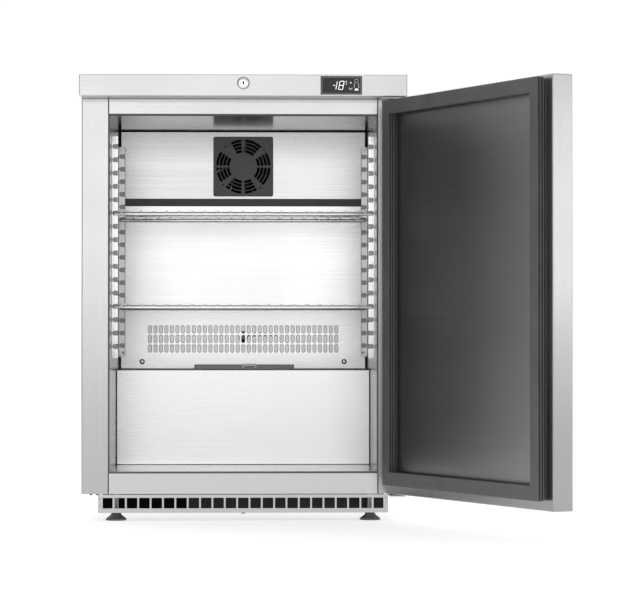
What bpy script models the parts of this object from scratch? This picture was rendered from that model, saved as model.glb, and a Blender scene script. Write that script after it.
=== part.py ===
"""Undercounter refrigerated cabinet with one hinged door, standing open, in metres with +Z up.

The cabinet is laid out in its own frame: X to the right from the cabinet's middle, Y towards the
back from the front edge of the worktop, Z up from the floor. The whole object hangs from one
empty, which carries that frame to the middle of the object's footprint.
"""

import math

import bmesh
import bpy
from mathutils import Matrix, Vector

# Outside of the cabinet
WIDTH = 0.600
DEPTH = 0.600
HEIGHT = 0.820
FASCIA_HEIGHT = 0.040
BODY_WIDTH = 0.597
BODY_FRONT = 0.0605
BODY_BOTTOM = 0.050
SHEET = 0.0012
GAP = 0.0003

# Storage space
CAVITY_HALF = 0.247
CAVITY_BOTTOM = 0.091
CAVITY_TOP = 0.749
CAVITY_BACK = 0.540
LINER_SHEET = 0.001
TRIM_WIDTH = 0.0025
TRIM_DEPTH = 0.012
STEP_FRONT = 0.335
STEP_TOP = 0.2764
COMPARTMENT_FRONT = 0.375
COMPARTMENT_TOP = 0.236

# Evaporator section
COVER_FACE = 0.452
COVER_HALF = 0.2455
COVER_SHEET = 0.001
COVER_SPLIT_LOW = 0.599
COVER_SPLIT_HIGH = 0.6137
FAN_CENTRE_Z = 0.678
FAN_SIZE = 0.119
FAN_BORE = 0.0555
GRILLE_RINGS = ((0.0275, 0.0335), (0.0345, 0.0405), (0.0415, 0.0475), (0.0485, 0.0545))
SLOT_COLUMNS = 35
SLOT_PITCH = 0.0109
SLOT_ROWS = (0.316, 0.335, 0.354)
SLOT_SIZE = (0.0073, 0.016)
COVER_SCREW_X = 0.2007
COVER_SCREW_Z = 0.290
TRAY_LIP_X = (-0.0945, 0.0985)

# Shelf supports and shelves
RACK_BOTTOM = 0.300
RACK_TOP = 0.716
RACK_REACH = 0.012
RACK_PLANES = (0.142, 0.443)
NOTCH_COUNT = 16
NOTCH_PITCH = 0.025
NOTCH_FIRST = 0.3219
NOTCH_RADIUS = 0.0045
NOTCH_SEAT = 0.0058
SHELF_LEVELS = {"shelf_lower": 3, "shelf_upper": 10}
ROD_RADIUS = 0.0030
ROD_HALF = 0.2438
ROD_TAPER = 0.0020
SIDE_WIRE_RADIUS = 0.0025
CROSS_WIRE_RADIUS = 0.0024
WIRE_RADIUS = 0.0015
WIRE_COUNT = 19
WIRE_PITCH = 0.024

# Door, drawn closed and then turned about its pins
DOOR_HALF = 0.2952
DOOR_BOTTOM = 0.0525
DOOR_TOP = 0.7756
DOOR_THICK = 0.0385
SEAL_DEPTH = 0.0190
SEAL_LEFT = -0.2773
SEAL_RIGHT = 0.2735
SEAL_BOTTOM = 0.0695
SEAL_TOP = 0.7712
SEAL_WIDTH = 0.025
DOOR_SKIN = 0.001
DOOR_BACK = BODY_FRONT - 0.0004 - SEAL_DEPTH
DOOR_FRONT = DOOR_BACK - DOOR_THICK
HINGE = Vector((0.2842, 0.0211, 0.0))
OPEN_ANGLE = math.radians(114.8)
PIN_RADIUS = 0.004
BUSH_BORE = 0.0063

# Lock and display in the fascia
LOCK_Z = 0.804
CAM_REACH = 0.036
CAM_FRONT = 0.0240
CAM_SLOT_Y = (CAM_FRONT - 0.002, CAM_FRONT + 0.004)
LOCK_BORE = 0.0096
DISPLAY_X = (0.141, 0.217)
DISPLAY_Z = (0.783, 0.817)

# Plinth and feet
GRILLE_HALF = 0.268
GRILLE_Z = (0.015, 0.0487)
GRILLE_FRONT = 0.066
GRILLE_HOLES = 23
GRILLE_PITCH = 0.0228
GRILLE_HOLE = 0.0183
FOOT_X = 0.2355
FOOT_PLANES = (0.090, 0.545)
FOOT_BASE_RADIUS = 0.0195
FOOT_STEM_RADIUS = 0.005
FOOT_STEM_TOP = 0.085

# Refrigeration plant behind the step
COMPRESSOR = Vector((0.125, 0.490, 0.0))
COMPRESSOR_RADIUS = 0.073
CONDENSER_X = (-0.275, -0.095)
CONDENSER_Y = (0.400, 0.438)
DRAIN = Vector((0.0055, 0.500, 0.0))
DRAIN_BORE = 0.0095
SUCTION_PASS = Vector((0.185, 0.515, 0.0))
SUCTION_BORE = 0.006
GLAND_X = -0.150
GLAND_Z = 0.222
GLAND_BORE = 0.0085

# Air slots in the rear panel
LOUVRE_COLUMNS = 6
LOUVRE_ROWS = 5
LOUVRE_START = (-0.245, 0.080)
LOUVRE_PITCH = (0.086, 0.026)
LOUVRE_SIZE = (0.060, 0.009)

PALETTE = {
    "stainless": ((0.60, 0.60, 0.60), 0.32, 1.0),
    "bright_liner": ((0.72, 0.72, 0.72), 0.28, 1.0),
    "dark_steel": ((0.10, 0.10, 0.10), 0.38, 1.0),
    "chrome": ((0.80, 0.80, 0.80), 0.12, 1.0),
    "black_plastic": ((0.030, 0.030, 0.032), 0.50, 0.0),
    "grey_rubber": ((0.070, 0.070, 0.072), 0.65, 0.0),
    "foam": ((0.80, 0.72, 0.52), 0.90, 0.0),
    "board": ((0.45, 0.33, 0.20), 0.80, 0.0),
    "copper": ((0.72, 0.36, 0.20), 0.30, 1.0),
    "aluminium": ((0.75, 0.76, 0.77), 0.40, 1.0),
    "black_paint": ((0.020, 0.020, 0.020), 0.45, 0.0),
    "white_plastic": ((0.75, 0.75, 0.73), 0.50, 0.0),
    "display_glass": ((0.010, 0.010, 0.012), 0.10, 0.0),
}

SMOOTH_ANGLE = math.radians(35)


# ---------------------------------------------------------------- meshes


def clear_scene():
    for obj in list(bpy.data.objects):
        bpy.data.objects.remove(obj, do_unlink=True)


def mesh_from(bm):
    """The finished mesh of a bmesh, welded and with its faces pointing out."""
    bmesh.ops.remove_doubles(bm, verts=bm.verts, dist=1e-6)
    bmesh.ops.recalc_face_normals(bm, faces=bm.faces)
    mesh = bpy.data.meshes.new("shape")
    bm.to_mesh(mesh)
    bm.free()
    return mesh


def block(x, y, z):
    """A box between pairs of coordinates."""
    bm = bmesh.new()
    bmesh.ops.create_cube(bm, size=1.0)
    size = Matrix.Diagonal((x[1] - x[0], y[1] - y[0], z[1] - z[0], 1.0))
    middle = Vector(((x[0] + x[1]) / 2, (y[0] + y[1]) / 2, (z[0] + z[1]) / 2))
    bmesh.ops.transform(bm, matrix=Matrix.Translation(middle) @ size, verts=bm.verts)
    return mesh_from(bm)


def evaluated_mesh(obj):
    graph = bpy.context.evaluated_depsgraph_get()
    return bpy.data.meshes.new_from_object(obj.evaluated_get(graph))


def plate(outline, holes, low, high):
    """A flat plate from an outline and its holes in local XY, between two heights along local Z."""
    curve = bpy.data.curves.new("outline", "CURVE")
    curve.dimensions = "2D"
    curve.fill_mode = "BOTH"
    curve.extrude = (high - low) / 2
    for loop in [outline, *holes]:
        spline = curve.splines.new("POLY")
        spline.points.add(len(loop) - 1)
        for point, (a, b) in zip(spline.points, loop):
            point.co = (a, b, 0.0, 1.0)
        spline.use_cyclic_u = True
    obj = bpy.data.objects.new("outline", curve)
    bpy.context.scene.collection.objects.link(obj)
    bm = bmesh.new()
    bm.from_mesh(evaluated_mesh(obj))
    bpy.data.objects.remove(obj, do_unlink=True)
    bmesh.ops.translate(bm, verts=bm.verts, vec=(0.0, 0.0, (low + high) / 2))
    return mesh_from(bm)


def turned(profile, segments=24):
    """A body turned about local Z from (radius, height) points, bottom to top."""
    bm = bmesh.new()
    rings = []
    for radius, height in profile:
        if radius == 0.0:
            rings.append([bm.verts.new((0.0, 0.0, height))])
            continue
        turns = [2 * math.pi * i / segments for i in range(segments)]
        rings.append([bm.verts.new((radius * math.cos(t), radius * math.sin(t), height)) for t in turns])
    for lower, upper in zip(rings, rings[1:]):
        for i in range(segments):
            j = (i + 1) % segments
            below = [lower[i % len(lower)], lower[j % len(lower)]]
            above = [upper[j % len(upper)], upper[i % len(upper)]]
            bm.faces.new(list(dict.fromkeys(below + above)))
    for ring in (rings[0], rings[-1]):
        if len(ring) > 1 and profile[0] != profile[-1]:
            bm.faces.new(ring)
    return mesh_from(bm)


def rod(start, end, radius, segments=6):
    """A straight round bar between two points."""
    start, end = Vector(start), Vector(end)
    mesh = turned([(radius, 0.0), (radius, (end - start).length)], segments)
    turn = (end - start).to_track_quat("Z", "Y").to_matrix().to_4x4()
    mesh.transform(Matrix.Translation(start) @ turn)
    return mesh


def pipe(points, radius, steps=6, resolution=2):
    """A round tube body along a smooth curve through the given points."""
    route = smooth_route([Vector(p) for p in points], steps)
    curve = bpy.data.curves.new("route", "CURVE")
    curve.dimensions = "3D"
    curve.bevel_depth = radius
    curve.bevel_resolution = resolution
    curve.use_fill_caps = True
    spline = curve.splines.new("POLY")
    spline.points.add(len(route) - 1)
    for point, place in zip(spline.points, route):
        point.co = (*place, 1.0)
    obj = bpy.data.objects.new("route", curve)
    bpy.context.scene.collection.objects.link(obj)
    bm = bmesh.new()
    bm.from_mesh(evaluated_mesh(obj))
    bpy.data.objects.remove(obj, do_unlink=True)
    return mesh_from(bm)


def smooth_route(points, steps):
    """Points on a Catmull-Rom curve through the given ones."""
    ends = [2 * points[0] - points[1], *points, 2 * points[-1] - points[-2]]
    route = []
    for a, b, c, d in zip(ends, ends[1:], ends[2:], ends[3:]):
        for i in range(steps):
            t = i / steps
            square = (2 * a - 5 * b + 4 * c - d) * t**2
            cube = (3 * b - a - 3 * c + d) * t**3
            route.append(0.5 * (2 * b + (c - a) * t + square + cube))
    return [*route, points[-1]]


def frame_ring(section, left, right, low, high):
    """A mitred rectangular frame. section holds (inset, depth) points, with depth along +Y."""
    bm = bmesh.new()
    rings = []
    for inset, depth in section:
        spots = (
            (left + inset, low + inset),
            (right - inset, low + inset),
            (right - inset, high - inset),
            (left + inset, high - inset),
        )
        rings.append([bm.verts.new((x, depth, z)) for x, z in spots])
    for a, b in zip(rings, rings[1:] + rings[:1]):
        for i in range(4):
            j = (i + 1) % 4
            bm.faces.new((a[i], a[j], b[j], b[i]))
    return mesh_from(bm)


def combined(base, others, operation):
    """The Boolean of one mesh with several, as a new mesh."""
    host = bpy.data.objects.new("host", base)
    bpy.context.scene.collection.objects.link(host)
    group = bpy.data.collections.new("operands")
    bpy.context.scene.collection.children.link(group)
    tools = [bpy.data.objects.new("tool", mesh) for mesh in others]
    for tool in tools:
        group.objects.link(tool)
    modifier = host.modifiers.new("shape", "BOOLEAN")
    modifier.operation = operation
    modifier.operand_type = "COLLECTION"
    modifier.collection = group
    modifier.solver = "EXACT"
    mesh = evaluated_mesh(host)
    for obj in [host, *tools]:
        bpy.data.objects.remove(obj, do_unlink=True)
    bpy.data.collections.remove(group)
    return mesh


def joined(base, *others):
    return combined(base, others, "UNION")


def cut(base, *others):
    return combined(base, others, "DIFFERENCE")


def rectangle(x, y):
    return [(x[0], y[0]), (x[1], y[0]), (x[1], y[1]), (x[0], y[1])]


def rounded_rectangle(x, y, radius, steps=3):
    """A rectangle's outline with its corners rounded."""
    points = []
    corners = ((x[1], y[1], 0), (x[0], y[1], 1), (x[0], y[0], 2), (x[1], y[0], 3))
    for cx, cy, quarter in corners:
        inward = math.radians(45 + 90 * quarter)
        ax = cx - math.copysign(radius, math.cos(inward))
        ay = cy - math.copysign(radius, math.sin(inward))
        for i in range(steps + 1):
            turn = math.radians(90 * (quarter + i / steps))
            points.append((ax + radius * math.cos(turn), ay + radius * math.sin(turn)))
    return points


def circle(x, y, radius, segments=32):
    turns = [2 * math.pi * i / segments for i in range(segments)]
    return [(x + radius * math.cos(t), y + radius * math.sin(t)) for t in turns]


def facing_front(mesh):
    """Stands a plate up: its local XY becomes X and Z, and its local Z points at -Y."""
    mesh.transform(Matrix.Rotation(math.radians(90), 4, "X"))
    return mesh


def front_plate(outline, holes, front, back):
    """An upright plate drawn in X and Z, between two depths."""
    return facing_front(plate(outline, holes, -back, -front))


def along_x(mesh):
    """Turns a plate drawn in (Y, Z) so that its thickness runs along X."""
    mesh.transform(Matrix(((0, 0, 1, 0), (1, 0, 0, 0), (0, 1, 0, 0), (0, 0, 0, 1))))
    return mesh


def mirrored(mesh):
    """The opposite hand of a mesh, reflected across the cabinet's middle plane."""
    other = mesh.copy()
    other.transform(Matrix.Scale(-1.0, 4, (1.0, 0.0, 0.0)))
    other.flip_normals()
    return other


def placed(mesh, place, turn_x=0.0):
    mesh.transform(Matrix.Translation(place) @ Matrix.Rotation(turn_x, 4, "X"))
    return mesh


def round_cutter(radius, low, high, place, segments=16):
    """An upright cylinder that cuts a bore."""
    return placed(turned([(radius, low), (radius, high)], segments), place)


# ---------------------------------------------------------------- objects


def finish(name, palette):
    """A sub-part's own Principled material."""
    colour, roughness, metallic = PALETTE[palette]
    material = bpy.data.materials.new(name + "_finish")
    material.use_nodes = True
    shader = material.node_tree.nodes["Principled BSDF"]
    shader.inputs["Base Color"].default_value = (*colour, 1.0)
    shader.inputs["Roughness"].default_value = roughness
    shader.inputs["Metallic"].default_value = metallic
    material.diffuse_color = (*colour, 1.0)
    return material


def add(name, mesh, palette, parent):
    """One sub-part. Its mesh is in the cabinet's frame, and its origin moves to its parent's axis."""
    mesh.name = name
    mesh.transform(Matrix.Translation(-Vector(parent["axis_at"])))
    mesh.shade_smooth()
    mesh.set_sharp_from_angle(angle=SMOOTH_ANGLE)
    mesh.materials.clear()
    mesh.materials.append(finish(name, palette))
    obj = bpy.data.objects.new(name, mesh)
    obj.parent = parent
    bpy.context.scene.collection.objects.link(obj)
    return obj


def empty(name, place, parent=None):
    obj = bpy.data.objects.new(name, None)
    obj.location = place
    obj.parent = parent
    obj.empty_display_size = 0.05
    obj["axis_at"] = list(place)
    bpy.context.scene.collection.objects.link(obj)
    return obj


# ---------------------------------------------------------------- cabinet shell


def build_worktop(cabinet):
    half = WIDTH / 2
    bottom = HEIGHT - FASCIA_HEIGHT
    inner = half - SHEET
    roof = HEIGHT - SHEET
    rear = DEPTH - SHEET
    body = block((-half, half), (0.0, DEPTH), (bottom, HEIGHT))
    hollow = block((-inner, inner), (SHEET, rear), (bottom + SHEET, roof))
    open_below = block((-inner, inner), (BODY_FRONT - 0.0015, rear), (bottom - 0.01, roof - 0.01))
    window = block(DISPLAY_X, (-0.01, 0.01), DISPLAY_Z)
    bore = turned([(LOCK_BORE, 0.0), (LOCK_BORE, 0.02)])
    lock_hole = placed(bore, (0.0, 0.01, LOCK_Z), math.radians(90))
    cam_slot = block((-0.009, 0.031), CAM_SLOT_Y, (bottom - 0.01, bottom + 0.005))
    shell = cut(body, hollow, open_below, window, lock_hole, cam_slot)
    add("worktop", shell, "stainless", cabinet)
    board_y = (BODY_FRONT + 0.003, rear - GAP)
    board = block((-inner + GAP, inner - GAP), board_y, (bottom + GAP, roof - GAP))
    add("worktop_core", board, "board", cabinet)


def build_outer_sheets(cabinet):
    half = BODY_WIDTH / 2
    top = HEIGHT - FASCIA_HEIGHT - GAP
    rear = DEPTH - SHEET
    post = CAVITY_HALF + TRIM_WIDTH + GAP
    outline = [
        (half, BODY_FRONT),
        (half, rear - GAP),
        (half - SHEET, rear - GAP),
        (half - SHEET, BODY_FRONT + SHEET),
        (post, BODY_FRONT + SHEET),
        (post, BODY_FRONT),
    ]
    side = plate(outline, [], BODY_BOTTOM, top)
    add("side_panel_left", mirrored(side), "stainless", cabinet)
    add("side_panel_right", side, "stainless", cabinet)

    rail = post - GAP - 0.0003
    sheet = (BODY_FRONT, BODY_FRONT + SHEET)
    trim = TRIM_WIDTH + GAP
    add("front_rail_top", block((-rail, rail), sheet, (CAVITY_TOP + trim, top)), "stainless", cabinet)
    low_rail = block((-rail, rail), sheet, (BODY_BOTTOM, CAVITY_BOTTOM - trim))
    add("front_rail_bottom", low_rail, "stainless", cabinet)

    louvres = []
    for column in range(LOUVRE_COLUMNS):
        for row in range(LOUVRE_ROWS):
            x = LOUVRE_START[0] + LOUVRE_PITCH[0] * column
            z = LOUVRE_START[1] + LOUVRE_PITCH[1] * row
            louvres.append(rectangle((x, x + LOUVRE_SIZE[0]), (z, z + LOUVRE_SIZE[1])))
    gland = circle(GLAND_X, GLAND_Z, GLAND_BORE, 16)
    outline = rectangle((-half, half), (BODY_BOTTOM, top))
    panel = front_plate(outline, [*louvres, gland], rear, DEPTH)
    add("rear_panel", panel, "stainless", cabinet)

    inside = half - SHEET - GAP
    hole = FOOT_STEM_RADIUS + 0.001
    stems = [circle(x, y, hole, 16) for x in (-FOOT_X, FOOT_X) for y in FOOT_PLANES]
    inlet = rectangle((-0.20, 0.02), (0.390, 0.430))
    pan_outline = rectangle((-inside, inside), (BODY_FRONT + SHEET + GAP, rear - GAP))
    pan = plate(pan_outline, [*stems, inlet], BODY_BOTTOM, BODY_BOTTOM + SHEET)
    add("base_pan", pan, "stainless", cabinet)


def build_insulation(cabinet):
    inside = BODY_WIDTH / 2 - SHEET - GAP
    liner = CAVITY_HALF + LINER_SHEET + GAP
    low = CAVITY_BOTTOM - LINER_SHEET - GAP
    high = CAVITY_TOP + LINER_SHEET + GAP
    front = BODY_FRONT + SHEET + GAP
    back = DEPTH - SHEET - GAP
    top = HEIGHT - FASCIA_HEIGHT - GAP
    base = BODY_BOTTOM + SHEET + GAP
    body = block((-inside, inside), (front, back), (base, top))
    skin = LINER_SHEET + GAP
    cavity = block((-liner, liner), (front - 0.05, STEP_FRONT + skin), (low, high))
    over_step_y = (STEP_FRONT - 0.01, CAVITY_BACK + skin)
    over_step = block((-liner, liner), over_step_y, (STEP_TOP - skin, high))
    trim = CAVITY_HALF + TRIM_WIDTH + GAP
    rebate_z = (CAVITY_BOTTOM - TRIM_WIDTH - GAP, CAVITY_TOP + TRIM_WIDTH + GAP)
    rebate = block((-trim, trim), (front - 0.05, BODY_FRONT + TRIM_DEPTH + GAP), rebate_z)
    plant = block((-1.0, 1.0), (COMPARTMENT_FRONT, 1.0), (0.0, COMPARTMENT_TOP))
    well, depth = FOOT_STEM_RADIUS + 0.001, FOOT_STEM_TOP + 0.002
    stems = [round_cutter(well, 0.0, depth, (x, FOOT_PLANES[0], 0.0)) for x in (-FOOT_X, FOOT_X)]
    drain = round_cutter(DRAIN_BORE, 0.2, 0.3, DRAIN)
    suction = round_cutter(SUCTION_BORE, 0.2, 0.3, SUCTION_PASS)
    foam = cut(body, cavity, over_step, rebate, plant, *stems, drain, suction)
    add("insulation_foam", foam, "foam", cabinet)


def build_liner(cabinet):
    front = BODY_FRONT + TRIM_DEPTH + GAP
    skin = LINER_SHEET
    low, high = CAVITY_BOTTOM - skin, CAVITY_TOP + skin
    depth = (front, CAVITY_BACK + skin)
    right = (CAVITY_HALF, CAVITY_HALF + skin)
    between = (-CAVITY_HALF + GAP, CAVITY_HALF - GAP)
    wall = [
        (depth[0], low),
        (STEP_FRONT + skin, low),
        (STEP_FRONT + skin, STEP_TOP - skin),
        (depth[1], STEP_TOP - skin),
        (depth[1], high),
        (depth[0], high),
    ]
    side = along_x(plate(wall, [], *right))
    add("liner_side_left", mirrored(side), "bright_liner", cabinet)
    add("liner_side_right", side, "bright_liner", cabinet)
    add("liner_ceiling", block(between, depth, (CAVITY_TOP, high)), "bright_liner", cabinet)
    back = (CAVITY_BACK, CAVITY_BACK + skin)
    add("liner_back", block(between, back, (STEP_TOP + GAP, CAVITY_TOP - GAP)), "bright_liner", cabinet)
    step = [
        (front, low),
        (STEP_FRONT + skin, low),
        (STEP_FRONT + skin, STEP_TOP - skin),
        (CAVITY_BACK + skin, STEP_TOP - skin),
        (CAVITY_BACK + skin, STEP_TOP),
        (STEP_FRONT, STEP_TOP),
        (STEP_FRONT, CAVITY_BOTTOM),
        (front, CAVITY_BOTTOM),
    ]
    floor = along_x(plate(step, [], between[0], between[1]))
    drain = round_cutter(DRAIN_BORE, 0.25, 0.3, DRAIN)
    suction = round_cutter(SUCTION_BORE, 0.25, 0.3, SUCTION_PASS)
    add("liner_floor_and_step", cut(floor, drain, suction), "bright_liner", cabinet)

    section = [(0.0, 0.0), (TRIM_WIDTH, 0.0), (TRIM_WIDTH, TRIM_DEPTH), (0.0, TRIM_DEPTH)]
    edge = CAVITY_HALF + TRIM_WIDTH
    ring = frame_ring(section, -edge, edge, CAVITY_BOTTOM - TRIM_WIDTH, CAVITY_TOP + TRIM_WIDTH)
    ring.transform(Matrix.Translation((0.0, BODY_FRONT, 0.0)))
    add("breaker_strip", ring, "grey_rubber", cabinet)


# ---------------------------------------------------------------- evaporator section


def build_covers(cabinet):
    face = (COVER_FACE, COVER_FACE + COVER_SHEET)
    upper_outline = rectangle((-COVER_HALF, COVER_HALF), (COVER_SPLIT_HIGH, CAVITY_TOP - 0.0013))
    upper = front_plate(upper_outline, [circle(0.0, FAN_CENTRE_Z, FAN_BORE)], *face)
    add("fan_cover", upper, "bright_liner", cabinet)

    slots = []
    for row in SLOT_ROWS:
        for column in range(SLOT_COLUMNS):
            x = (column - (SLOT_COLUMNS - 1) / 2) * SLOT_PITCH
            w, h = SLOT_SIZE[0] / 2, SLOT_SIZE[1] / 2
            slots.append(rectangle((x - w, x + w), (row - h, row + h)))
    edge = STEP_TOP + 0.0005
    outline = rectangle((-COVER_HALF, COVER_HALF), (edge, COVER_SPLIT_LOW))
    left, right = TRAY_LIP_X[0] - 0.002, TRAY_LIP_X[1] + 0.002
    top = STEP_TOP + 0.0078
    outline[1:1] = [(left, edge), (left, top), (right, top), (right, edge)]
    screws = [circle(x, COVER_SCREW_Z, 0.0026, 12) for x in (-COVER_SCREW_X, COVER_SCREW_X)]
    lower = front_plate(outline, [*slots, *screws], *face)
    add("perforated_cover", lower, "bright_liner", cabinet)

    reach = COVER_HALF - 0.001
    strip_y = (COVER_FACE + 0.002, COVER_FACE + 0.006)
    strip_z = (COVER_SPLIT_LOW - 0.004, COVER_SPLIT_HIGH + 0.0043)
    add("cover_joint_strip", block((-reach, reach), strip_y, strip_z), "grey_rubber", cabinet)

    shank, head, seat = 0.0022, 0.0045, 0.0113
    for side, x in (("left", -COVER_SCREW_X), ("right", COVER_SCREW_X)):
        profile = [(0.0, 0.0), (shank, 0.0), (shank, seat), (head, seat)]
        profile += [(head - 0.0005, seat + 0.0020), (0.0, seat + 0.0024)]
        spot = (x, COVER_FACE + 0.011, COVER_SCREW_Z)
        screw = placed(turned(profile, 12), spot, math.radians(90))
        add("cover_screw_" + side, screw, "chrome", cabinet)


def build_fan(cabinet):
    front, back = COVER_FACE - 0.0035, COVER_FACE - GAP
    half = FAN_SIZE / 2
    square = rounded_rectangle((-half, half), (FAN_CENTRE_Z - half, FAN_CENTRE_Z + half), 0.003)
    rings = []
    for inner, outer in GRILLE_RINGS:
        for sector in range(4):
            start = math.radians(90 * sector + 4)
            sweep = math.radians(82)
            turns = [start + sweep * i / 5 for i in range(6)]
            loop = [(outer * math.cos(t), FAN_CENTRE_Z + outer * math.sin(t)) for t in turns]
            loop += [(inner * math.cos(t), FAN_CENTRE_Z + inner * math.sin(t)) for t in reversed(turns)]
            rings.append(loop)
    add("fan_grille", front_plate(square, rings, front, back), "black_plastic", cabinet)

    y0 = COVER_FACE + 0.0065
    bore = circle(0.0, FAN_CENTRE_Z, 0.0570)
    walls = front_plate(square, [bore], y0, y0 + 0.038)
    hub = placed(turned([(0.024, 0.0), (0.024, 0.007)]), (0.0, y0 + 0.038, FAN_CENTRE_Z), math.radians(90))
    struts = []
    for i in range(3):
        turn = math.radians(30 + 120 * i)
        end = (0.0585 * math.cos(turn), y0 + 0.035, FAN_CENTRE_Z + 0.0585 * math.sin(turn))
        struts.append(rod((0.0, y0 + 0.035, FAN_CENTRE_Z), end, 0.0025, 8))
    add("evaporator_fan_frame", joined(walls, hub, *struts), "black_plastic", cabinet)

    axis = empty("evaporator_fan_axis", (0.0, y0, FAN_CENTRE_Z), cabinet)
    rotor = fan_rotor(0.0235, 0.0545, 0.022, 7)
    rotor = placed(rotor, (0.0, y0 + 0.028, FAN_CENTRE_Z), math.radians(90))
    add("evaporator_fan_rotor", rotor, "black_plastic", axis)


def fan_rotor(hub_radius, tip_radius, depth, blades):
    """A hub with tilted blades, its axis along local Z and its back at local 0."""
    rim = [(hub_radius, 0.0), (hub_radius, depth - 0.002), (hub_radius - 0.002, depth)]
    hub = turned([(0.0, 0.0), *rim, (0.0, depth)])
    vanes = []
    for i in range(blades):
        chord = 0.5 * depth
        vane = block((hub_radius - 0.004, tip_radius), (-chord, chord), (-0.0007, 0.0007))
        tilt = Matrix.Rotation(math.radians(38), 4, "X")
        spin = Matrix.Rotation(2 * math.pi * i / blades, 4, "Z")
        vane.transform(Matrix.Translation((0.0, 0.0, depth / 2)) @ spin @ tilt)
        vanes.append(vane)
    return joined(hub, *vanes)


def comb(x, y, fins, spine, fin):
    """A finned block's outline in plan: thin fins in front of a spine along its back."""
    pitch = (x[1] - x[0] - fin) / (fins - 1)
    outline = [(x[1], y[1]), (x[0], y[1])]
    for i in range(fins):
        left = x[0] + i * pitch
        if i:
            outline.append((left, y[1] - spine))
        outline += [(left, y[0]), (left + fin, y[0])]
        if i < fins - 1:
            outline.append((left + fin, y[1] - spine))
    return outline


def build_evaporator(cabinet):
    x, y, z = (-0.190, 0.190), (0.468, 0.530), (0.340, 0.580)
    fins = plate(comb(x, y, 20, 0.003, 0.0012), [], *z)
    bends = []
    bend = 0.014
    for side, edge in ((1, x[1]), (-1, x[0])):
        for row in range(3):
            middle = z[0] + 0.040 + 0.080 * row
            inner = edge - side * 0.0006
            arc = []
            for i in range(7):
                turn = math.pi * i / 6
                out = edge + side * bend * math.sin(turn) if 0 < i < 6 else inner
                arc.append((out, y[1] - 0.006, middle + bend * math.cos(turn)))
            bends.append(pipe(arc, 0.004, 1, 1))
    plate_y, plate_z = (y[0] - 0.002, y[1] + 0.002), (z[0] - 0.004, z[1] + 0.004)
    plates = [block((e - 0.001, e + 0.001), plate_y, plate_z) for e in x]
    add("evaporator_coil", joined(fins, *plates, *bends), "aluminium", cabinet)

    wall = 0.0015
    left, right = -0.2100, 0.2140
    front, back = COVER_FACE + 0.014, CAVITY_BACK - 0.004
    body = block((left, right), (front, back), (STEP_TOP + 0.0035, STEP_TOP + 0.022))
    well_x, well_y = (left + wall, right - wall), (front + wall, back - wall)
    well = block(well_x, well_y, (STEP_TOP + 0.005, 1.0))
    lip_y = (COVER_FACE - 0.0060, front + 0.001)
    lip = block(TRAY_LIP_X, lip_y, (STEP_TOP + 0.0004, STEP_TOP + 0.0072))
    outlet = round_cutter(0.0070, 0.25, 0.30, DRAIN)
    tray = joined(cut(body, well, outlet), lip)
    add("drip_tray", tray, "bright_liner", cabinet)

    inner, outer = 0.0065, 0.0085
    low, high = 0.215, STEP_TOP + 0.0031
    profile = [(inner, low), (outer, low), (outer, high), (inner, high), (inner, low)]
    add("drain_tube", placed(turned(profile, 16), DRAIN), "white_plastic", cabinet)


# ---------------------------------------------------------------- shelf supports and shelves


def rack_profile():
    """The right flange's outline in X and Z, with its round-ended notches open to the middle."""
    wall = CAVITY_HALF - GAP - 0.0002
    tip = CAVITY_HALF - RACK_REACH
    seat = CAVITY_HALF - NOTCH_SEAT
    points = [(wall, RACK_TOP), (wall, RACK_BOTTOM), (tip, RACK_BOTTOM)]
    for i in range(NOTCH_COUNT):
        z = NOTCH_FIRST + i * NOTCH_PITCH
        points.append((tip, z - NOTCH_RADIUS))
        for step in range(4):
            turn = math.radians(-90 + 60 * step)
            points.append((seat + NOTCH_RADIUS * math.cos(turn), z + NOTCH_RADIUS * math.sin(turn)))
        points.append((tip, z + NOTCH_RADIUS))
    points.append((tip, RACK_TOP))
    return points


def build_racks(cabinet):
    wall = CAVITY_HALF - GAP
    for plane, place in zip(RACK_PLANES, ("front", "rear")):
        flange = front_plate(rack_profile(), [], plane - 0.0005, plane + 0.0005)
        web_z = (RACK_BOTTOM + 0.0001, RACK_TOP - 0.0001)
        web = block((wall - 0.0008, wall), (plane + 0.0001, plane + 0.007), web_z)
        right = joined(flange, web)
        left = mirrored(right)
        add(f"rack_{place}_right", right, "bright_liner", cabinet)
        add(f"rack_{place}_left", left, "bright_liner", cabinet)


def shelf_rod(y, z):
    """A cross rod with tapered ends, which sit in the round ends of the notches."""
    tip, length = ROD_RADIUS - 0.0014, 2 * ROD_HALF
    profile = [(tip, 0.0), (ROD_RADIUS, ROD_TAPER), (ROD_RADIUS, length - ROD_TAPER), (tip, length)]
    mesh = turned(profile, 8)
    mesh.transform(Matrix.Translation((-ROD_HALF, y, z)) @ Matrix.Rotation(math.radians(90), 4, "Y"))
    return mesh


def build_shelves(cabinet):
    front, rear = RACK_PLANES
    for name, notch in SHELF_LEVELS.items():
        level = NOTCH_FIRST + notch * NOTCH_PITCH - (NOTCH_RADIUS - ROD_RADIUS - GAP)
        axis = empty(name + "_slide", (0.0, front, level), cabinet)
        wires = [shelf_rod(y, level) for y in (front, rear)]
        top = level + ROD_RADIUS + WIRE_RADIUS - 0.0007
        near, far = front - 0.0022, rear + 0.0022
        side = CAVITY_HALF - RACK_REACH - 0.006
        for x in (-side, side):
            wires.append(rod((x, near, top), (x, far, top), SIDE_WIRE_RADIUS))
        for i in range(WIRE_COUNT):
            x = (i - (WIRE_COUNT - 1) / 2) * WIRE_PITCH
            wires.append(rod((x, near, top), (x, far, top), WIRE_RADIUS, 5))
        low, end = level + 0.0006, side + 0.001
        for share in (1 / 3, 2 / 3):
            y = front + (rear - front) * share
            wires.append(rod((-end, y, low), (end, y, low), CROSS_WIRE_RADIUS))
        add(name, joined(*wires), "chrome", axis)


# ---------------------------------------------------------------- fascia: display, controller and lock


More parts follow.
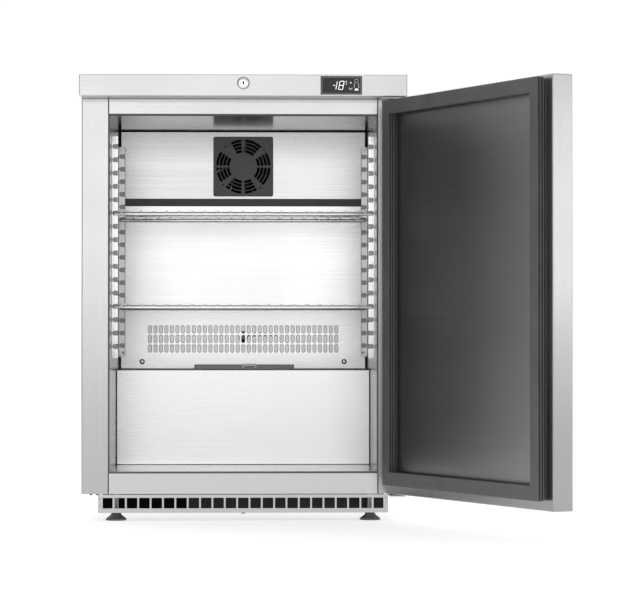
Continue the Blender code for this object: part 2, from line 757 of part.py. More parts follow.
def build_fascia(cabinet):
    x = (DISPLAY_X[0] + GAP, DISPLAY_X[1] - GAP)
    z = (DISPLAY_Z[0] + GAP, DISPLAY_Z[1] - GAP)
    add("display_window", block(x, (0.0002, 0.004), z), "display_glass", cabinet)
    body = block((x[0] + 0.004, x[1] - 0.004), (0.0043, 0.050), (z[0] + 0.001, z[1] - 0.0005))
    add("controller", body, "black_plastic", cabinet)

    profile = [
        (0.0064, 0.0),
        (0.0092, 0.0),
        (0.0092, 0.0210),
        (0.01175, 0.0210),
        (0.01175, 0.0225),
        (0.0105, 0.0235),
        (0.0064, 0.0235),
        (0.0064, 0.0),
    ]
    back = 0.0207
    shell = placed(turned(profile), (0.0, back, LOCK_Z), math.radians(90))
    add("lock_housing", shell, "chrome", cabinet)

    axis = empty("lock_axis", (0.0, 0.0, LOCK_Z), cabinet)
    plug = turned([(0.0, 0.0), (0.0061, 0.0), (0.0061, 0.0243), (0.0, 0.0243)], 20)
    plug = placed(plug, (0.0, CAM_FRONT - GAP, LOCK_Z), math.radians(90))
    keyway = block((-0.0007, 0.0007), (-0.01, 0.008), (LOCK_Z - 0.0035, LOCK_Z + 0.0035))
    add("lock_cylinder", cut(plug, keyway), "chrome", axis)
    arc = [math.radians(90 + 180 * i / 6) for i in range(7)]
    outline = [(0.007 * math.cos(t), LOCK_Z + 0.007 * math.sin(t)) for t in arc]
    outline += [(CAM_REACH, LOCK_Z - 0.005), (CAM_REACH, LOCK_Z + 0.005)]
    add("lock_cam", front_plate(outline, [], CAM_FRONT, CAM_FRONT + 0.002), "chrome", axis)


# ---------------------------------------------------------------- door


def build_hinges(cabinet):
    sheet = 0.0028
    fascia = HEIGHT - FASCIA_HEIGHT
    x = (HINGE.x - 0.030, HINGE.x + 0.0125)
    top_plate = block(x, (HINGE.y - 0.011, BODY_FRONT - GAP), (fascia - GAP - sheet, fascia - GAP))
    spot = (HINGE.x, HINGE.y, fascia - GAP - 0.001)
    top_pin = placed(turned([(PIN_RADIUS, -0.011), (PIN_RADIUS, 0.0)], 20), spot)
    add("hinge_top", joined(top_plate, top_pin), "stainless", cabinet)

    low_x = (GRILLE_HALF + 0.0006, 0.2965)
    low_z = (BODY_BOTTOM - GAP - sheet, BODY_BOTTOM - GAP)
    low_plate = block(low_x, (HINGE.y - 0.011, 0.115), low_z)
    spot = (HINGE.x, HINGE.y, low_z[1] - 0.001)
    low_pin = placed(turned([(PIN_RADIUS, 0.0), (PIN_RADIUS, 0.0125)], 20), spot)
    add("hinge_bottom", joined(low_plate, low_pin), "stainless", cabinet)


def door_filling(inset):
    """A box that lies a given distance inside the outer faces of the door."""
    x = DOOR_HALF - inset
    y = (DOOR_FRONT + inset, DOOR_BACK - inset)
    return block((-x, x), y, (DOOR_BOTTOM + inset, DOOR_TOP - inset))


def build_door(cabinet):
    axis = empty("door_hinge_axis", HINGE, cabinet)
    shell = block((-DOOR_HALF, DOOR_HALF), (DOOR_FRONT, DOOR_BACK), (DOOR_BOTTOM, DOOR_TOP))
    hollow = door_filling(DOOR_SKIN)
    lip_x = (SEAL_LEFT + SEAL_WIDTH / 2, SEAL_RIGHT - SEAL_WIDTH / 2)
    lip_z = (SEAL_BOTTOM + SEAL_WIDTH / 2, SEAL_TOP - SEAL_WIDTH / 2)
    mouth = block(lip_x, (DOOR_FRONT + 0.01, DOOR_BACK + 0.01), lip_z)
    lower_bore = round_cutter(BUSH_BORE, -0.012, 0.018, (HINGE.x, HINGE.y, DOOR_BOTTOM), 20)
    upper_bore = round_cutter(BUSH_BORE, -0.018, 0.012, (HINGE.x, HINGE.y, DOOR_TOP), 20)
    strike = block((-0.009, 0.026), CAM_SLOT_Y, (DOOR_TOP - 0.010, DOOR_TOP + 0.01))
    pan = cut(shell, hollow, mouth, lower_bore, upper_bore, strike)
    add("door_skin", pan, "stainless", axis)

    deeper = placed(strike.copy(), (0.0, 0.0, -0.001))
    foam = cut(door_filling(DOOR_SKIN + GAP), lower_bore.copy(), upper_bore.copy(), deeper)
    add("door_foam", foam, "foam", axis)

    panel_x = (lip_x[0] + GAP, lip_x[1] - GAP)
    panel_z = (lip_z[0] + GAP, lip_z[1] - GAP)
    panel = block(panel_x, (DOOR_BACK - DOOR_SKIN, DOOR_BACK), panel_z)
    add("door_inner_panel", panel, "dark_steel", axis)

    w, d = SEAL_WIDTH, SEAL_DEPTH - GAP
    section = [
        (0.0060, 0.0),
        (0.0190, 0.0),
        (0.0190, 0.25 * d),
        (0.0160, 0.35 * d),
        (0.0210, 0.50 * d),
        (0.0170, 0.62 * d),
        (w, 0.70 * d),
        (w, d),
        (0.0, d),
        (0.0, 0.70 * d),
        (0.0070, 0.62 * d),
        (0.0030, 0.50 * d),
        (0.0080, 0.35 * d),
        (0.0060, 0.25 * d),
    ]
    seal = frame_ring(section, SEAL_LEFT, SEAL_RIGHT, SEAL_BOTTOM, SEAL_TOP)
    add("door_gasket", placed(seal, (0.0, DOOR_BACK + GAP, 0.0)), "grey_rubber", axis)

    bore, wall, flange = PIN_RADIUS + 0.0004, BUSH_BORE - GAP, 0.0080
    bush = [(bore, 0.0), (flange, 0.0), (flange, 0.0007), (wall, 0.0007)]
    bush += [(wall, 0.014), (bore, 0.014), (bore, 0.0)]
    lower = placed(turned(bush, 20), (HINGE.x, HINGE.y, DOOR_BOTTOM - 0.0010))
    add("hinge_bush_bottom", lower, "white_plastic", axis)
    upper = placed(turned(bush, 20), (HINGE.x, HINGE.y, DOOR_TOP + 0.0010), math.radians(180))
    add("hinge_bush_top", upper, "white_plastic", axis)
    axis.rotation_euler = (0.0, 0.0, OPEN_ANGLE)


# ---------------------------------------------------------------- plinth and feet


def build_plinth(cabinet):
    middle = 0.033
    half = GRILLE_HOLE / 2
    holes = []
    for i in range(GRILLE_HOLES):
        x = (i - (GRILLE_HOLES - 1) / 2) * GRILLE_PITCH
        holes.append(rectangle((x - half, x + half), (middle - half, middle + half)))
    outline = rectangle((-GRILLE_HALF, GRILLE_HALF), GRILLE_Z)
    grille = front_plate(outline, holes, GRILLE_FRONT, GRILLE_FRONT + 0.0015)
    add("plinth_grille", grille, "stainless", cabinet)


def build_feet(cabinet):
    base, stem = FOOT_BASE_RADIUS, FOOT_STEM_RADIUS
    profile = [
        (0.0, 0.0),
        (base - 0.001, 0.0),
        (base, 0.0015),
        (base, 0.0035),
        (0.0150, 0.0065),
        (0.0095, 0.0105),
        (0.0085, 0.0130),
        (stem, 0.0140),
        (stem, FOOT_STEM_TOP - 0.001),
        (stem - 0.001, FOOT_STEM_TOP),
        (0.0, FOOT_STEM_TOP),
    ]
    for side, hand in ((-1, "left"), (1, "right")):
        for y, place in zip(FOOT_PLANES, ("front", "rear")):
            name = f"foot_{place}_{hand}"
            axis = empty(name + "_thread", (side * FOOT_X, y, 0.0), cabinet)
            add(name, placed(turned(profile, 20), (side * FOOT_X, y, 0.0)), "black_plastic", axis)


# ---------------------------------------------------------------- refrigeration plant


def build_plant(cabinet):
    floor = BODY_BOTTOM + SHEET + GAP
    r = COMPRESSOR_RADIUS
    dome = [
        (0.0, 0.012),
        (0.050, 0.012),
        (r - 0.006, 0.022),
        (r, 0.036),
        (r, 0.100),
        (r - 0.008, 0.122),
        (r - 0.030, 0.138),
        (0.0, 0.143),
    ]
    shell = placed(turned(dome, 28), (COMPRESSOR.x, COMPRESSOR.y, floor))
    legs = []
    for shift in (-0.040, 0.040):
        leg_x = (COMPRESSOR.x + shift - 0.014, COMPRESSOR.x + shift + 0.014)
        legs.append(block(leg_x, (COMPRESSOR.y - 0.083, COMPRESSOR.y + 0.083), (floor, floor + 0.018)))
    add("compressor", joined(shell, *legs), "black_paint", cabinet)
    box_x = (COMPRESSOR.x - r - 0.029, COMPRESSOR.x - r - 0.001)
    box = block(box_x, (COMPRESSOR.y - 0.026, COMPRESSOR.y + 0.026), (floor + 0.040, floor + 0.105))
    add("terminal_box", box, "black_plastic", cabinet)

    z = (floor + 0.008, 0.218)
    fins = plate(comb(CONDENSER_X, CONDENSER_Y, 22, 0.003, 0.0010), [], *z)
    plate_y = (CONDENSER_Y[0] - 0.002, CONDENSER_Y[1] + 0.002)
    plates = [block((e - 0.001, e + 0.001), plate_y, (floor, z[1] + 0.003)) for e in CONDENSER_X]
    add("condenser_coil", joined(fins, *plates), "aluminium", cabinet)

    middle_x = sum(CONDENSER_X) / 2
    middle_z = (z[0] + z[1]) / 2
    y0 = CONDENSER_Y[1] + 0.004
    square = rectangle((middle_x - 0.080, middle_x + 0.080), (floor, z[1]))
    ring = front_plate(square, [circle(middle_x, middle_z, 0.070)], y0, y0 + 0.004)
    motor = turned([(0.024, 0.0), (0.024, 0.040)])
    motor = placed(motor, (middle_x, y0 + 0.072, middle_z), math.radians(90))
    arms = []
    for i in range(3):
        turn = math.radians(90 + 120 * i)
        x, z_arm = middle_x + 0.074 * math.cos(turn), middle_z + 0.074 * math.sin(turn)
        arms.append(rod((x, y0 + 0.002, z_arm), (x, y0 + 0.0525, z_arm), 0.0025, 8))
        arms.append(rod((x, y0 + 0.050, z_arm), (middle_x, y0 + 0.050, middle_z), 0.0025, 8))
    add("condenser_fan_frame", joined(ring, motor, *arms), "black_paint", cabinet)
    axis = empty("condenser_fan_axis", (middle_x, y0, middle_z), cabinet)
    rotor = placed(fan_rotor(0.018, 0.066, 0.020, 5), (middle_x, y0 + 0.030, middle_z), math.radians(90))
    add("condenser_fan_rotor", rotor, "black_plastic", axis)

    neck, barrel = 0.0035, 0.0095
    drier = [(0.0, 0.0), (neck, 0.001), (neck, 0.010), (barrel, 0.020), (barrel, 0.085)]
    drier += [(neck, 0.095), (neck, 0.104), (0.0, 0.105)]
    add("filter_drier", placed(turned(drier, 16), (-0.055, 0.410, floor + 0.045)), "copper", cabinet)

    top = floor + 0.150
    crown = Vector((COMPRESSOR.x - 0.045, COMPRESSOR.y - 0.063, floor + 0.060))
    discharge = [
        (crown.x, crown.y - 0.0135, crown.z),
        (crown.x - 0.004, crown.y - 0.030, crown.z + 0.020),
        (0.030, 0.398, top - 0.010),
        (-0.030, 0.388, top + 0.004),
        (-0.080, 0.390, top + 0.008),
        (CONDENSER_X[1] - 0.010, 0.3925, top + 0.006),
    ]
    add("discharge_pipe", pipe(discharge, 0.0032), "copper", cabinet)
    suction = [
        (SUCTION_PASS.x + 0.012, COMPRESSOR.y - 0.072, floor + 0.070),
        (SUCTION_PASS.x + 0.026, COMPRESSOR.y - 0.030, floor + 0.110),
        (SUCTION_PASS.x + 0.016, SUCTION_PASS.y - 0.006, floor + 0.150),
        (SUCTION_PASS.x, SUCTION_PASS.y, 0.232),
        (SUCTION_PASS.x, SUCTION_PASS.y, 0.260),
        (SUCTION_PASS.x, SUCTION_PASS.y, 0.2745),
    ]
    add("suction_pipe", pipe(suction, 0.0040), "copper", cabinet)

    tray_x = (DRAIN.x - 0.045, DRAIN.x + 0.008)
    tray = block(tray_x, (0.455, 0.580), (floor, floor + 0.030))
    well = block((tray_x[0] + 0.002, tray_x[1] - 0.002), (0.457, 0.578), (floor + 0.002, 1.0))
    add("evaporation_tray", cut(tray, well), "black_plastic", cabinet)

    bore = 0.0045
    collar = 0.0030
    nose = collar + SHEET
    wall = GLAND_BORE - GAP
    profile = [(bore, 0.0), (0.0105, 0.0), (0.0115, 0.0010), (0.0115, collar), (wall, collar)]
    profile += [(wall, nose), (bore, nose), (bore, 0.0)]
    inner_face = DEPTH - SHEET - GAP
    sleeve = placed(turned(profile, 20), (GLAND_X, inner_face - collar, GLAND_Z), math.radians(-90))
    add("mains_gland", sleeve, "black_plastic", cabinet)


# ---------------------------------------------------------------- assembly


def stand_on_footprint(cabinet):
    """Moves the whole object so that the middle of its footprint lies on the world origin."""
    bpy.context.view_layer.update()
    spots = []
    for obj in bpy.data.objects:
        if obj.type == "MESH":
            spots += [obj.matrix_world @ vertex.co for vertex in obj.data.vertices]
    for i in (0, 1):
        values = [spot[i] for spot in spots]
        cabinet.location[i] = -(min(values) + max(values)) / 2
    bpy.context.view_layer.update()


clear_scene()
cabinet_frame = empty("cabinet_frame", (0.0, 0.0, 0.0))
build_worktop(cabinet_frame)
build_outer_sheets(cabinet_frame)
build_insulation(cabinet_frame)
build_liner(cabinet_frame)
build_covers(cabinet_frame)
build_fan(cabinet_frame)
build_evaporator(cabinet_frame)
build_racks(cabinet_frame)
build_shelves(cabinet_frame)
build_fascia(cabinet_frame)
build_hinges(cabinet_frame)
build_door(cabinet_frame)
build_plinth(cabinet_frame)
build_feet(cabinet_frame)
build_plant(cabinet_frame)
stand_on_footprint(cabinet_frame)
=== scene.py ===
"""Looks of an undercounter refrigerator with its door open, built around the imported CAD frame.

Pieces are drawn in the cabinet's own frame, in metres: X to the right from the cabinet's middle,
Y towards the back from the worktop's front edge, Z up. PLACE carries them to the CAD frame.
The door's pieces are drawn shut, and DOOR_TURN opens them.
"""

import math

import bmesh
import bpy
from mathutils import Matrix, Vector


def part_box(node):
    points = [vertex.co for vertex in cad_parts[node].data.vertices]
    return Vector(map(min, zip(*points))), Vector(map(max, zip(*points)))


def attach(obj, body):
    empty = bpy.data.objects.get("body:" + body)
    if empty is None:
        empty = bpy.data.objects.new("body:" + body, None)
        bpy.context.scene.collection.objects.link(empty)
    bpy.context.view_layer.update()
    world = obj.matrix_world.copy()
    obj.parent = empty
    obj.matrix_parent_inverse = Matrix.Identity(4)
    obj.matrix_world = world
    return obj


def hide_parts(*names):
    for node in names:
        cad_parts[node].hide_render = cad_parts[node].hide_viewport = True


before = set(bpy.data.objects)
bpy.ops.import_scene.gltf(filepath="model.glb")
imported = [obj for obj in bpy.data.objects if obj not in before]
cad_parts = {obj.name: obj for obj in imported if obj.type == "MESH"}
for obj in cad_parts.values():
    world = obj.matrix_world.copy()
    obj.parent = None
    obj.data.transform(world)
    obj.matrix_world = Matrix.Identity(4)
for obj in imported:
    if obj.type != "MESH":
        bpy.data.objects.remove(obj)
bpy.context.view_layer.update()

# Sizes shared with the CAD, in the cabinet's frame
WORKTOP_LOW, WORKTOP_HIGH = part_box("worktop")
ORIGIN = Vector(((WORKTOP_LOW.x + WORKTOP_HIGH.x) / 2, WORKTOP_LOW.y, 0.0))
WIDTH, DEPTH, HEIGHT = 0.600, 0.600, 0.820
FASCIA = 0.040
BODY_HALF = 0.2985
BODY_FRONT = 0.0605
BODY_BOTTOM = 0.050
SHEET = 0.0012
GAP = 0.0003
CAVITY_HALF = 0.247
CAVITY_LOW, CAVITY_HIGH = 0.091, 0.749
STEP_TOP = 0.2764
COVER_FACE = 0.452
COVER_HALF = 0.2455
SPLIT_LOW, SPLIT_HIGH = 0.599, 0.6137
FAN_Z = 0.678
FAN_HALF = 0.0595
FAN_BORE = 0.0555
COVER_SCREW_X, COVER_SCREW_Z = (-0.2007, 0.2007), 0.290
RACK_PLANES = (0.142, 0.443)
NOTCH_LOW, NOTCH_PITCH = 0.3219, 0.025
SHELF_NOTCHES = {"shelf_lower": 3, "shelf_upper": 10}
HINGE = Vector((0.2842, 0.0211, 0.0))
OPEN = math.radians(114.8)
DOOR_HALF = 0.2952
DOOR_LOW, DOOR_HIGH = 0.0525, 0.7756
DOOR_BACK = 0.0411
DOOR_FRONT = 0.0026
SEAL_LEFT, SEAL_RIGHT = -0.2773, 0.2735
SEAL_LOW, SEAL_HIGH = 0.0695, 0.7712
SEAL_WIDTH, SEAL_DEPTH = 0.025, 0.0187
CAM_SLOT_Y = (0.022, 0.028)
LOCK_Z = 0.804
DISPLAY_X, DISPLAY_Z = (0.141, 0.217), (0.783, 0.817)
FOOT_X, FOOT_PLANES = 0.2355, (0.090, 0.545)

DOOR_TURN = Matrix.Translation(HINGE) @ Matrix.Rotation(OPEN, 4, "Z") @ Matrix.Translation(-HINGE)
PLACE = Matrix.Translation(ORIGIN)


# ---------------------------------------------------------------- mesh helpers


def new_object(name, data):
    obj = bpy.data.objects.new(name, data)
    bpy.context.scene.collection.objects.link(obj)
    return obj


def bm_mesh(bm, weld=1e-6):
    if weld:
        bmesh.ops.remove_doubles(bm, verts=bm.verts, dist=weld)
    bmesh.ops.recalc_face_normals(bm, faces=bm.faces)
    mesh = bpy.data.meshes.new("piece")
    bm.to_mesh(mesh)
    bm.free()
    return mesh


def evaluated(obj):
    """The mesh that an object shows; the object itself is removed."""
    graph = bpy.context.evaluated_depsgraph_get()
    mesh = bpy.data.meshes.new_from_object(obj.evaluated_get(graph))
    bpy.data.objects.remove(obj, do_unlink=True)
    return mesh


def sheet(outline, holes, low, high, edge=0.0002, steps=1):
    """A flat sheet from an outline and its holes in local XY, with rounded edges."""
    curve = bpy.data.curves.new("sheet", "CURVE")
    curve.dimensions = "2D"
    curve.fill_mode = "BOTH"
    curve.extrude = (high - low) / 2 - edge
    curve.bevel_depth = edge
    curve.bevel_resolution = steps
    curve.offset = -edge
    for loop in [outline, *holes]:
        spline = curve.splines.new("POLY")
        spline.points.add(len(loop) - 1)
        for point, (a, b) in zip(spline.points, loop):
            point.co = (a, b, 0.0, 1.0)
        spline.use_cyclic_u = True
    mesh = evaluated(new_object("sheet", curve))
    mesh.transform(Matrix.Translation((0.0, 0.0, (low + high) / 2)))
    bm = bmesh.new()
    bm.from_mesh(mesh)
    return bm_mesh(bm)


def front_sheet(outline, holes, front, back, edge=0.0002, steps=1):
    """A sheet stood up: its local X and Y become X and Z, and its local Z points at -Y."""
    mesh = sheet(outline, holes, -back, -front, edge, steps)
    mesh.transform(Matrix.Rotation(math.radians(90), 4, "X"))
    return mesh


def rectangle(x, y):
    return [(x[0], y[0]), (x[1], y[0]), (x[1], y[1]), (x[0], y[1])]


def rounded(x, y, radius, steps=4):
    """A rectangle with round corners."""
    points = []
    for cx, cy, quarter in ((x[1], y[1], 0), (x[0], y[1], 1), (x[0], y[0], 2), (x[1], y[0], 3)):
        inward = math.radians(45 + 90 * quarter)
        ax = cx - math.copysign(radius, math.cos(inward))
        ay = cy - math.copysign(radius, math.sin(inward))
        for i in range(steps + 1):
            turn = math.radians(90 * (quarter + i / steps))
            points.append((ax + radius * math.cos(turn), ay + radius * math.sin(turn)))
    return points


def circle(x, y, radius, segments=48):
    turns = [2 * math.pi * i / segments for i in range(segments)]
    return [(x + radius * math.cos(t), y + radius * math.sin(t)) for t in turns]


def block(x, y, z, edge=0.0004, steps=2):
    """A box with rounded edges."""
    bm = bmesh.new()
    bmesh.ops.create_cube(bm, size=1.0)
    size = Matrix.Diagonal((x[1] - x[0], y[1] - y[0], z[1] - z[0], 1.0))
    middle = Vector(((x[0] + x[1]) / 2, (y[0] + y[1]) / 2, (z[0] + z[1]) / 2))
    bmesh.ops.transform(bm, matrix=Matrix.Translation(middle) @ size, verts=bm.verts)
    if edge:
        bmesh.ops.bevel(bm, geom=bm.edges[:], offset=edge, segments=steps, profile=0.5, affect="EDGES")
    return bm_mesh(bm, 0)


def turned(profile, segments=40):
    """A body turned about local Z from (radius, height) points."""
    bm = bmesh.new()
    rings = []
    for radius, height in profile:
        spots = circle(0.0, 0.0, radius, segments if radius else 1)
        rings.append([bm.verts.new((x, y, height)) for x, y in spots])
    for a, b in zip(rings, rings[1:]):
        for i in range(segments):
            j = (i + 1) % segments
            corners = dict.fromkeys((a[i % len(a)], a[j % len(a)], b[j % len(b)], b[i % len(b)]))
            if len(corners) > 2:
                bm.faces.new(list(corners))
    return bm_mesh(bm)


def drum(radius, low, high, segments=40):
    """A plain round bar about local Z."""
    return turned([(0.0, low), (radius, low), (radius, high), (0.0, high)], segments)


def washer(inner, outer, height, segments):
    """A flat ring about local Z."""
    return turned([(inner, 0.0), (outer, 0.0), (outer, height), (inner, height), (inner, 0.0)], segments)


def rod(start, end, radius, segments=12, dome=0.45):
    """A round bar with softly domed ends."""
    start, end = Vector(start), Vector(end)
    length = (end - start).length
    cap = radius * dome
    ends = [(0.0, 0.0), (radius * 0.70, cap * 0.25), (radius * 0.94, cap * 0.65), (radius, cap)]
    profile = ends + [(r, length - h) for r, h in reversed(ends)]
    mesh = turned(profile, segments)
    turn = (end - start).to_track_quat("Z", "Y").to_matrix().to_4x4()
    mesh.transform(Matrix.Translation(start) @ turn)
    return mesh


def framed(section, left, right, low, high, front):
    """A mitred rectangular frame from (inset, depth) points, depth along +Y."""
    bm = bmesh.new()
    rings = []
    for inset, depth in section:
        spots = (
            (left + inset, low + inset),
            (right - inset, low + inset),
            (right - inset, high - inset),
            (left + inset, high - inset),
        )
        rings.append([bm.verts.new((x, front + depth, z)) for x, z in spots])
    for a, b in zip(rings, rings[1:] + rings[:1]):
        for i in range(4):
            j = (i + 1) % 4
            bm.faces.new((a[i], a[j], b[j], b[i]))
    return bm_mesh(bm)


def cut(base, *cutters):
    """A mesh less the volume of others."""
    host = new_object("host", base)
    group = bpy.data.collections.new("cutters")
    bpy.context.scene.collection.children.link(group)
    tools = [bpy.data.objects.new("tool", mesh) for mesh in cutters]
    for tool in tools:
        group.objects.link(tool)
    modifier = host.modifiers.new("shape", "BOOLEAN")
    modifier.operation = "DIFFERENCE"
    modifier.operand_type = "COLLECTION"
    modifier.collection = group
    modifier.solver = "EXACT"
    mesh = evaluated(host)
    for tool in tools:
        bpy.data.objects.remove(tool, do_unlink=True)
    bpy.data.collections.remove(group)
    return mesh


def gathered(*meshes):
    """Several meshes in one, side by side."""
    bm = bmesh.new()
    for mesh in meshes:
        bm.from_mesh(mesh)
    merged = bpy.data.meshes.new("piece")
    bm.to_mesh(merged)
    bm.free()
    return merged


def moved(mesh, place, turn=0.0):
    mesh.transform(Matrix.Translation(place) @ Matrix.Rotation(turn, 4, "X"))
    return mesh


def faced(mesh, x, y, z):
    """Moves a mesh with its local Z turned to the front."""
    return moved(mesh, (x, y, z), math.pi / 2)


def mirrored(mesh):
    other = mesh.copy()
    other.transform(Matrix.Scale(-1.0, 4, (1.0, 0.0, 0.0)))
    other.flip_normals()
    return other


def softened(node, width):
    """A copy of a CAD node's mesh in the cabinet's frame, with its edges rounded."""
    bm = bmesh.new()
    bm.from_mesh(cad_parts[node].data)
    bmesh.ops.remove_doubles(bm, verts=bm.verts, dist=2e-6)
    bmesh.ops.dissolve_limit(bm, angle_limit=math.radians(1), verts=bm.verts[:], edges=bm.edges[:])
    sharp = [e for e in bm.edges if e.is_manifold and e.calc_face_angle(0.0) > math.radians(25)]
    bmesh.ops.bevel(bm, geom=sharp, offset=width, segments=2, profile=0.5, affect="EDGES", clamp_overlap=True)
    mesh = bm_mesh(bm, 0)
    mesh.transform(PLACE.inverted())
    return mesh


def piece(name, mesh, material, replaces=(), body="cabinet", smooth=50, weigh=True):
    """A finished piece: shaded, placed in the CAD frame, with its material, the CAD nodes it hides and its
    body.
    """
    mesh.name = name
    mesh.transform(PLACE @ DOOR_TURN if body == "door" else PLACE)
    mesh.shade_smooth()
    mesh.set_sharp_from_angle(angle=math.radians(smooth))
    mesh.materials.clear()
    mesh.materials.append(material)
    obj = new_object(name, mesh)
    if weigh:
        normals = obj.modifiers.new("normals", "WEIGHTED_NORMAL")
        normals.keep_sharp = True
        normals.weight = 100
    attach(obj, body)
    if replaces:
        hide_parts(*replaces)
    return obj


# ---------------------------------------------------------------- materials


class Finish:
    """A material under construction: a Principled shader and the nodes that feed it."""

    def __init__(self, name, turn=0.0, **constants):
        self.material = bpy.data.materials.new(name)
        self.material.use_nodes = True
        self.tree = self.material.node_tree
        self.shader = self.tree.nodes["Principled BSDF"]
        for key, value in constants.items():
            self.shader.inputs[key.replace("_", " ")].default_value = value
        space = self.node("ShaderNodeTexCoord")
        mapping = self.node("ShaderNodeMapping", Vector=space.outputs["Object"])
        mapping.inputs["Rotation"].default_value = (0.0, 0.0, -turn)
        self.space = mapping.outputs["Vector"]

    def node(self, kind, settings=None, **inputs):
        node = self.tree.nodes.new(kind)
        for key, value in (settings or {}).items():
            setattr(node, key, value)
        for key, value in inputs.items():
            self.supply(node.inputs[key.replace("_", " ")], value)
        return node

    def supply(self, socket, value):
        """Links another node's value, or sets a constant on the socket itself."""
        if isinstance(value, bpy.types.NodeSocket):
            self.tree.links.new(value, socket)
        else:
            socket.default_value = value

    def noise(self, scale, detail, roughness):
        """Noise in object space, with one scale or one for each axis."""
        scales = scale if isinstance(scale, tuple) else (scale,) * 3
        stretched = self.node("ShaderNodeMapping", Vector=self.space, Scale=scales).outputs["Vector"]
        inputs = {"Vector": stretched, "Scale": 1.0, "Detail": detail, "Roughness": roughness}
        return self.node("ShaderNodeTexNoise", **inputs).outputs["Fac"]

    def cells(self, scale):
        return self.node("ShaderNodeTexVoronoi", Vector=self.space, Scale=scale).outputs["Distance"]

    def spread(self, value, low=0.0, high=1.0, start=0.3, end=0.7):
        """A value between start and end, spread over low to high."""
        node = self.node("ShaderNodeMapRange", Value=value)
        for key, number in (("From Min", start), ("From Max", end), ("To Min", low), ("To Max", high)):
            node.inputs[key].default_value = number
        return node.outputs["Result"]

    def maths(self, operation, *values):
        node = self.node("ShaderNodeMath", {"operation": operation})
        for socket, value in zip(node.inputs, values):
            self.supply(socket, value)
        return node.outputs[0]

    def blend(self, factor, dark, light):
        """A colour between two shades."""
        node = self.node("ShaderNodeMix", {"data_type": "RGBA"}, Factor=factor)
        for key, value in (("A", dark), ("B", light)):
            socket = next(s for s in node.inputs if s.name == key and s.type == "RGBA")
            self.supply(socket, (*value, 1.0) if isinstance(value, tuple) else value)
        return next(s for s in node.outputs if s.type == "RGBA")

    def feed(self, key, value):
        self.tree.links.new(value, self.shader.inputs[key])

    def tone(self, value, dark, light, key="Base Color"):
        """Feeds a colour that varies with a noise between two shades."""
        self.feed(key, self.blend(self.spread(value), dark, light))

    def sheen(self, value, low, high):
        self.feed("Roughness", self.spread(value, low, high))

    def bump(self, height, distance):
        self.feed("Normal", self.node("ShaderNodeBump", Height=height, Distance=distance).outputs["Normal"])


def grey(value, tint=0.0):
    """A grey, slightly cool with a positive tint and slightly warm with a negative one."""
    return (value * (1 - tint), value, value * (1 + tint))


# Noise scales per axis: low along the grain, high across it
GRAINS = {"x": (2.0, 1300.0, 1300.0), "z": (1300.0, 1300.0, 2.0), "y": (1300.0, 2.0, 1300.0)}


def brushed(name, shade, rough, grain="x", turn=0.0, contrast=0.04, depth=0.000004, low=1.0):
    """Brushed sheet: fine grain along one axis, longer streaks and a faint unevenness of the polish.

    A low below 1 paints shade into the colour: the sheet gets darker towards the floor.
    """
    f = Finish(name, turn, Metallic=1.0)
    fine = f.noise(GRAINS[grain], 4.0, 0.65)
    streak = f.noise(tuple(s * 0.45 for s in GRAINS[grain]), 3.0, 0.6)
    clouds = f.noise(3.2, 2.0, 0.5)
    mixed = f.maths("ADD", f.maths("MULTIPLY", fine, 0.6), f.maths("MULTIPLY", streak, 0.4))
    lines = f.spread(mixed, start=0.36, end=0.64)
    colour = f.blend(lines, grey(shade * (1 - contrast)), grey(shade * (1 + contrast)))
    # Painted shade: from 0.42 m down to 0.03 m the colour fades to low times the shade.
    if low < 1.0:
        height = f.node("ShaderNodeSeparateXYZ", Vector=f.space).outputs["Z"]
        floor_shade_colour = f.blend(f.spread(mixed), grey(shade * low * 0.97), grey(shade * low * 1.03))
        colour = f.blend(f.spread(height, start=0.03, end=0.42), floor_shade_colour, colour)
    f.feed("Base Color", colour)
    polish = f.maths("ADD", f.spread(fine, rough - 0.03, rough + 0.03), f.spread(clouds, -0.03, 0.03))
    f.feed("Roughness", polish)
    f.bump(mixed, depth)
    return f.material


def plated(name, shade, rough):
    """Bright plated wire or turned metal, with a slightly wavy surface."""
    f = Finish(name, Metallic=1.0)
    clouds = f.noise(25.0, 3.0, 0.6)
    f.tone(clouds, grey(shade * 0.93), grey(min(1.0, shade * 1.04)))
    f.sheen(clouds, rough * 0.8, rough * 1.35)
    f.bump(f.noise(260.0, 2.0, 0.5), 0.00004)
    return f.material


def moulded(name, shade, rough, grain=1400.0, tint=0.0, depth=0.00003, **constants):
    """Moulded plastic with a fine spark-eroded texture and slight wear of its sheen."""
    f = Finish(name, **constants)
    clouds = f.noise(14.0, 4.0, 0.6)
    f.tone(clouds, grey(shade * 0.88, tint), grey(shade * 1.12, tint))
    f.sheen(clouds, rough - 0.06, rough + 0.06)
    f.bump(f.cells(grain), depth)
    return f.material


def rubber(name, shade, rough):
    f = Finish(name)
    bloom = f.noise((22.0, 22.0, 9.0), 4.0, 0.65)
    f.tone(bloom, grey(shade * 0.85, 0.01), grey(shade * 1.2, 0.01))
    f.sheen(bloom, rough - 0.08, rough + 0.08)
    f.bump(f.noise(900.0, 4.0, 0.6), 0.00003)
    return f.material


def foamed(name):
    f = Finish(name, Roughness=0.95)
    f.tone(f.noise(9.0, 4.0, 0.6), (0.66, 0.55, 0.33), (0.80, 0.70, 0.46))
    f.bump(f.cells(420.0), 0.0006)
    return f.material


def boarded(name):
    f = Finish(name, Roughness=0.85)
    chips = f.noise((160.0, 160.0, 420.0), 5.0, 0.7)
    f.tone(chips, (0.30, 0.20, 0.11), (0.55, 0.42, 0.27))
    f.bump(chips, 0.0004)
    return f.material


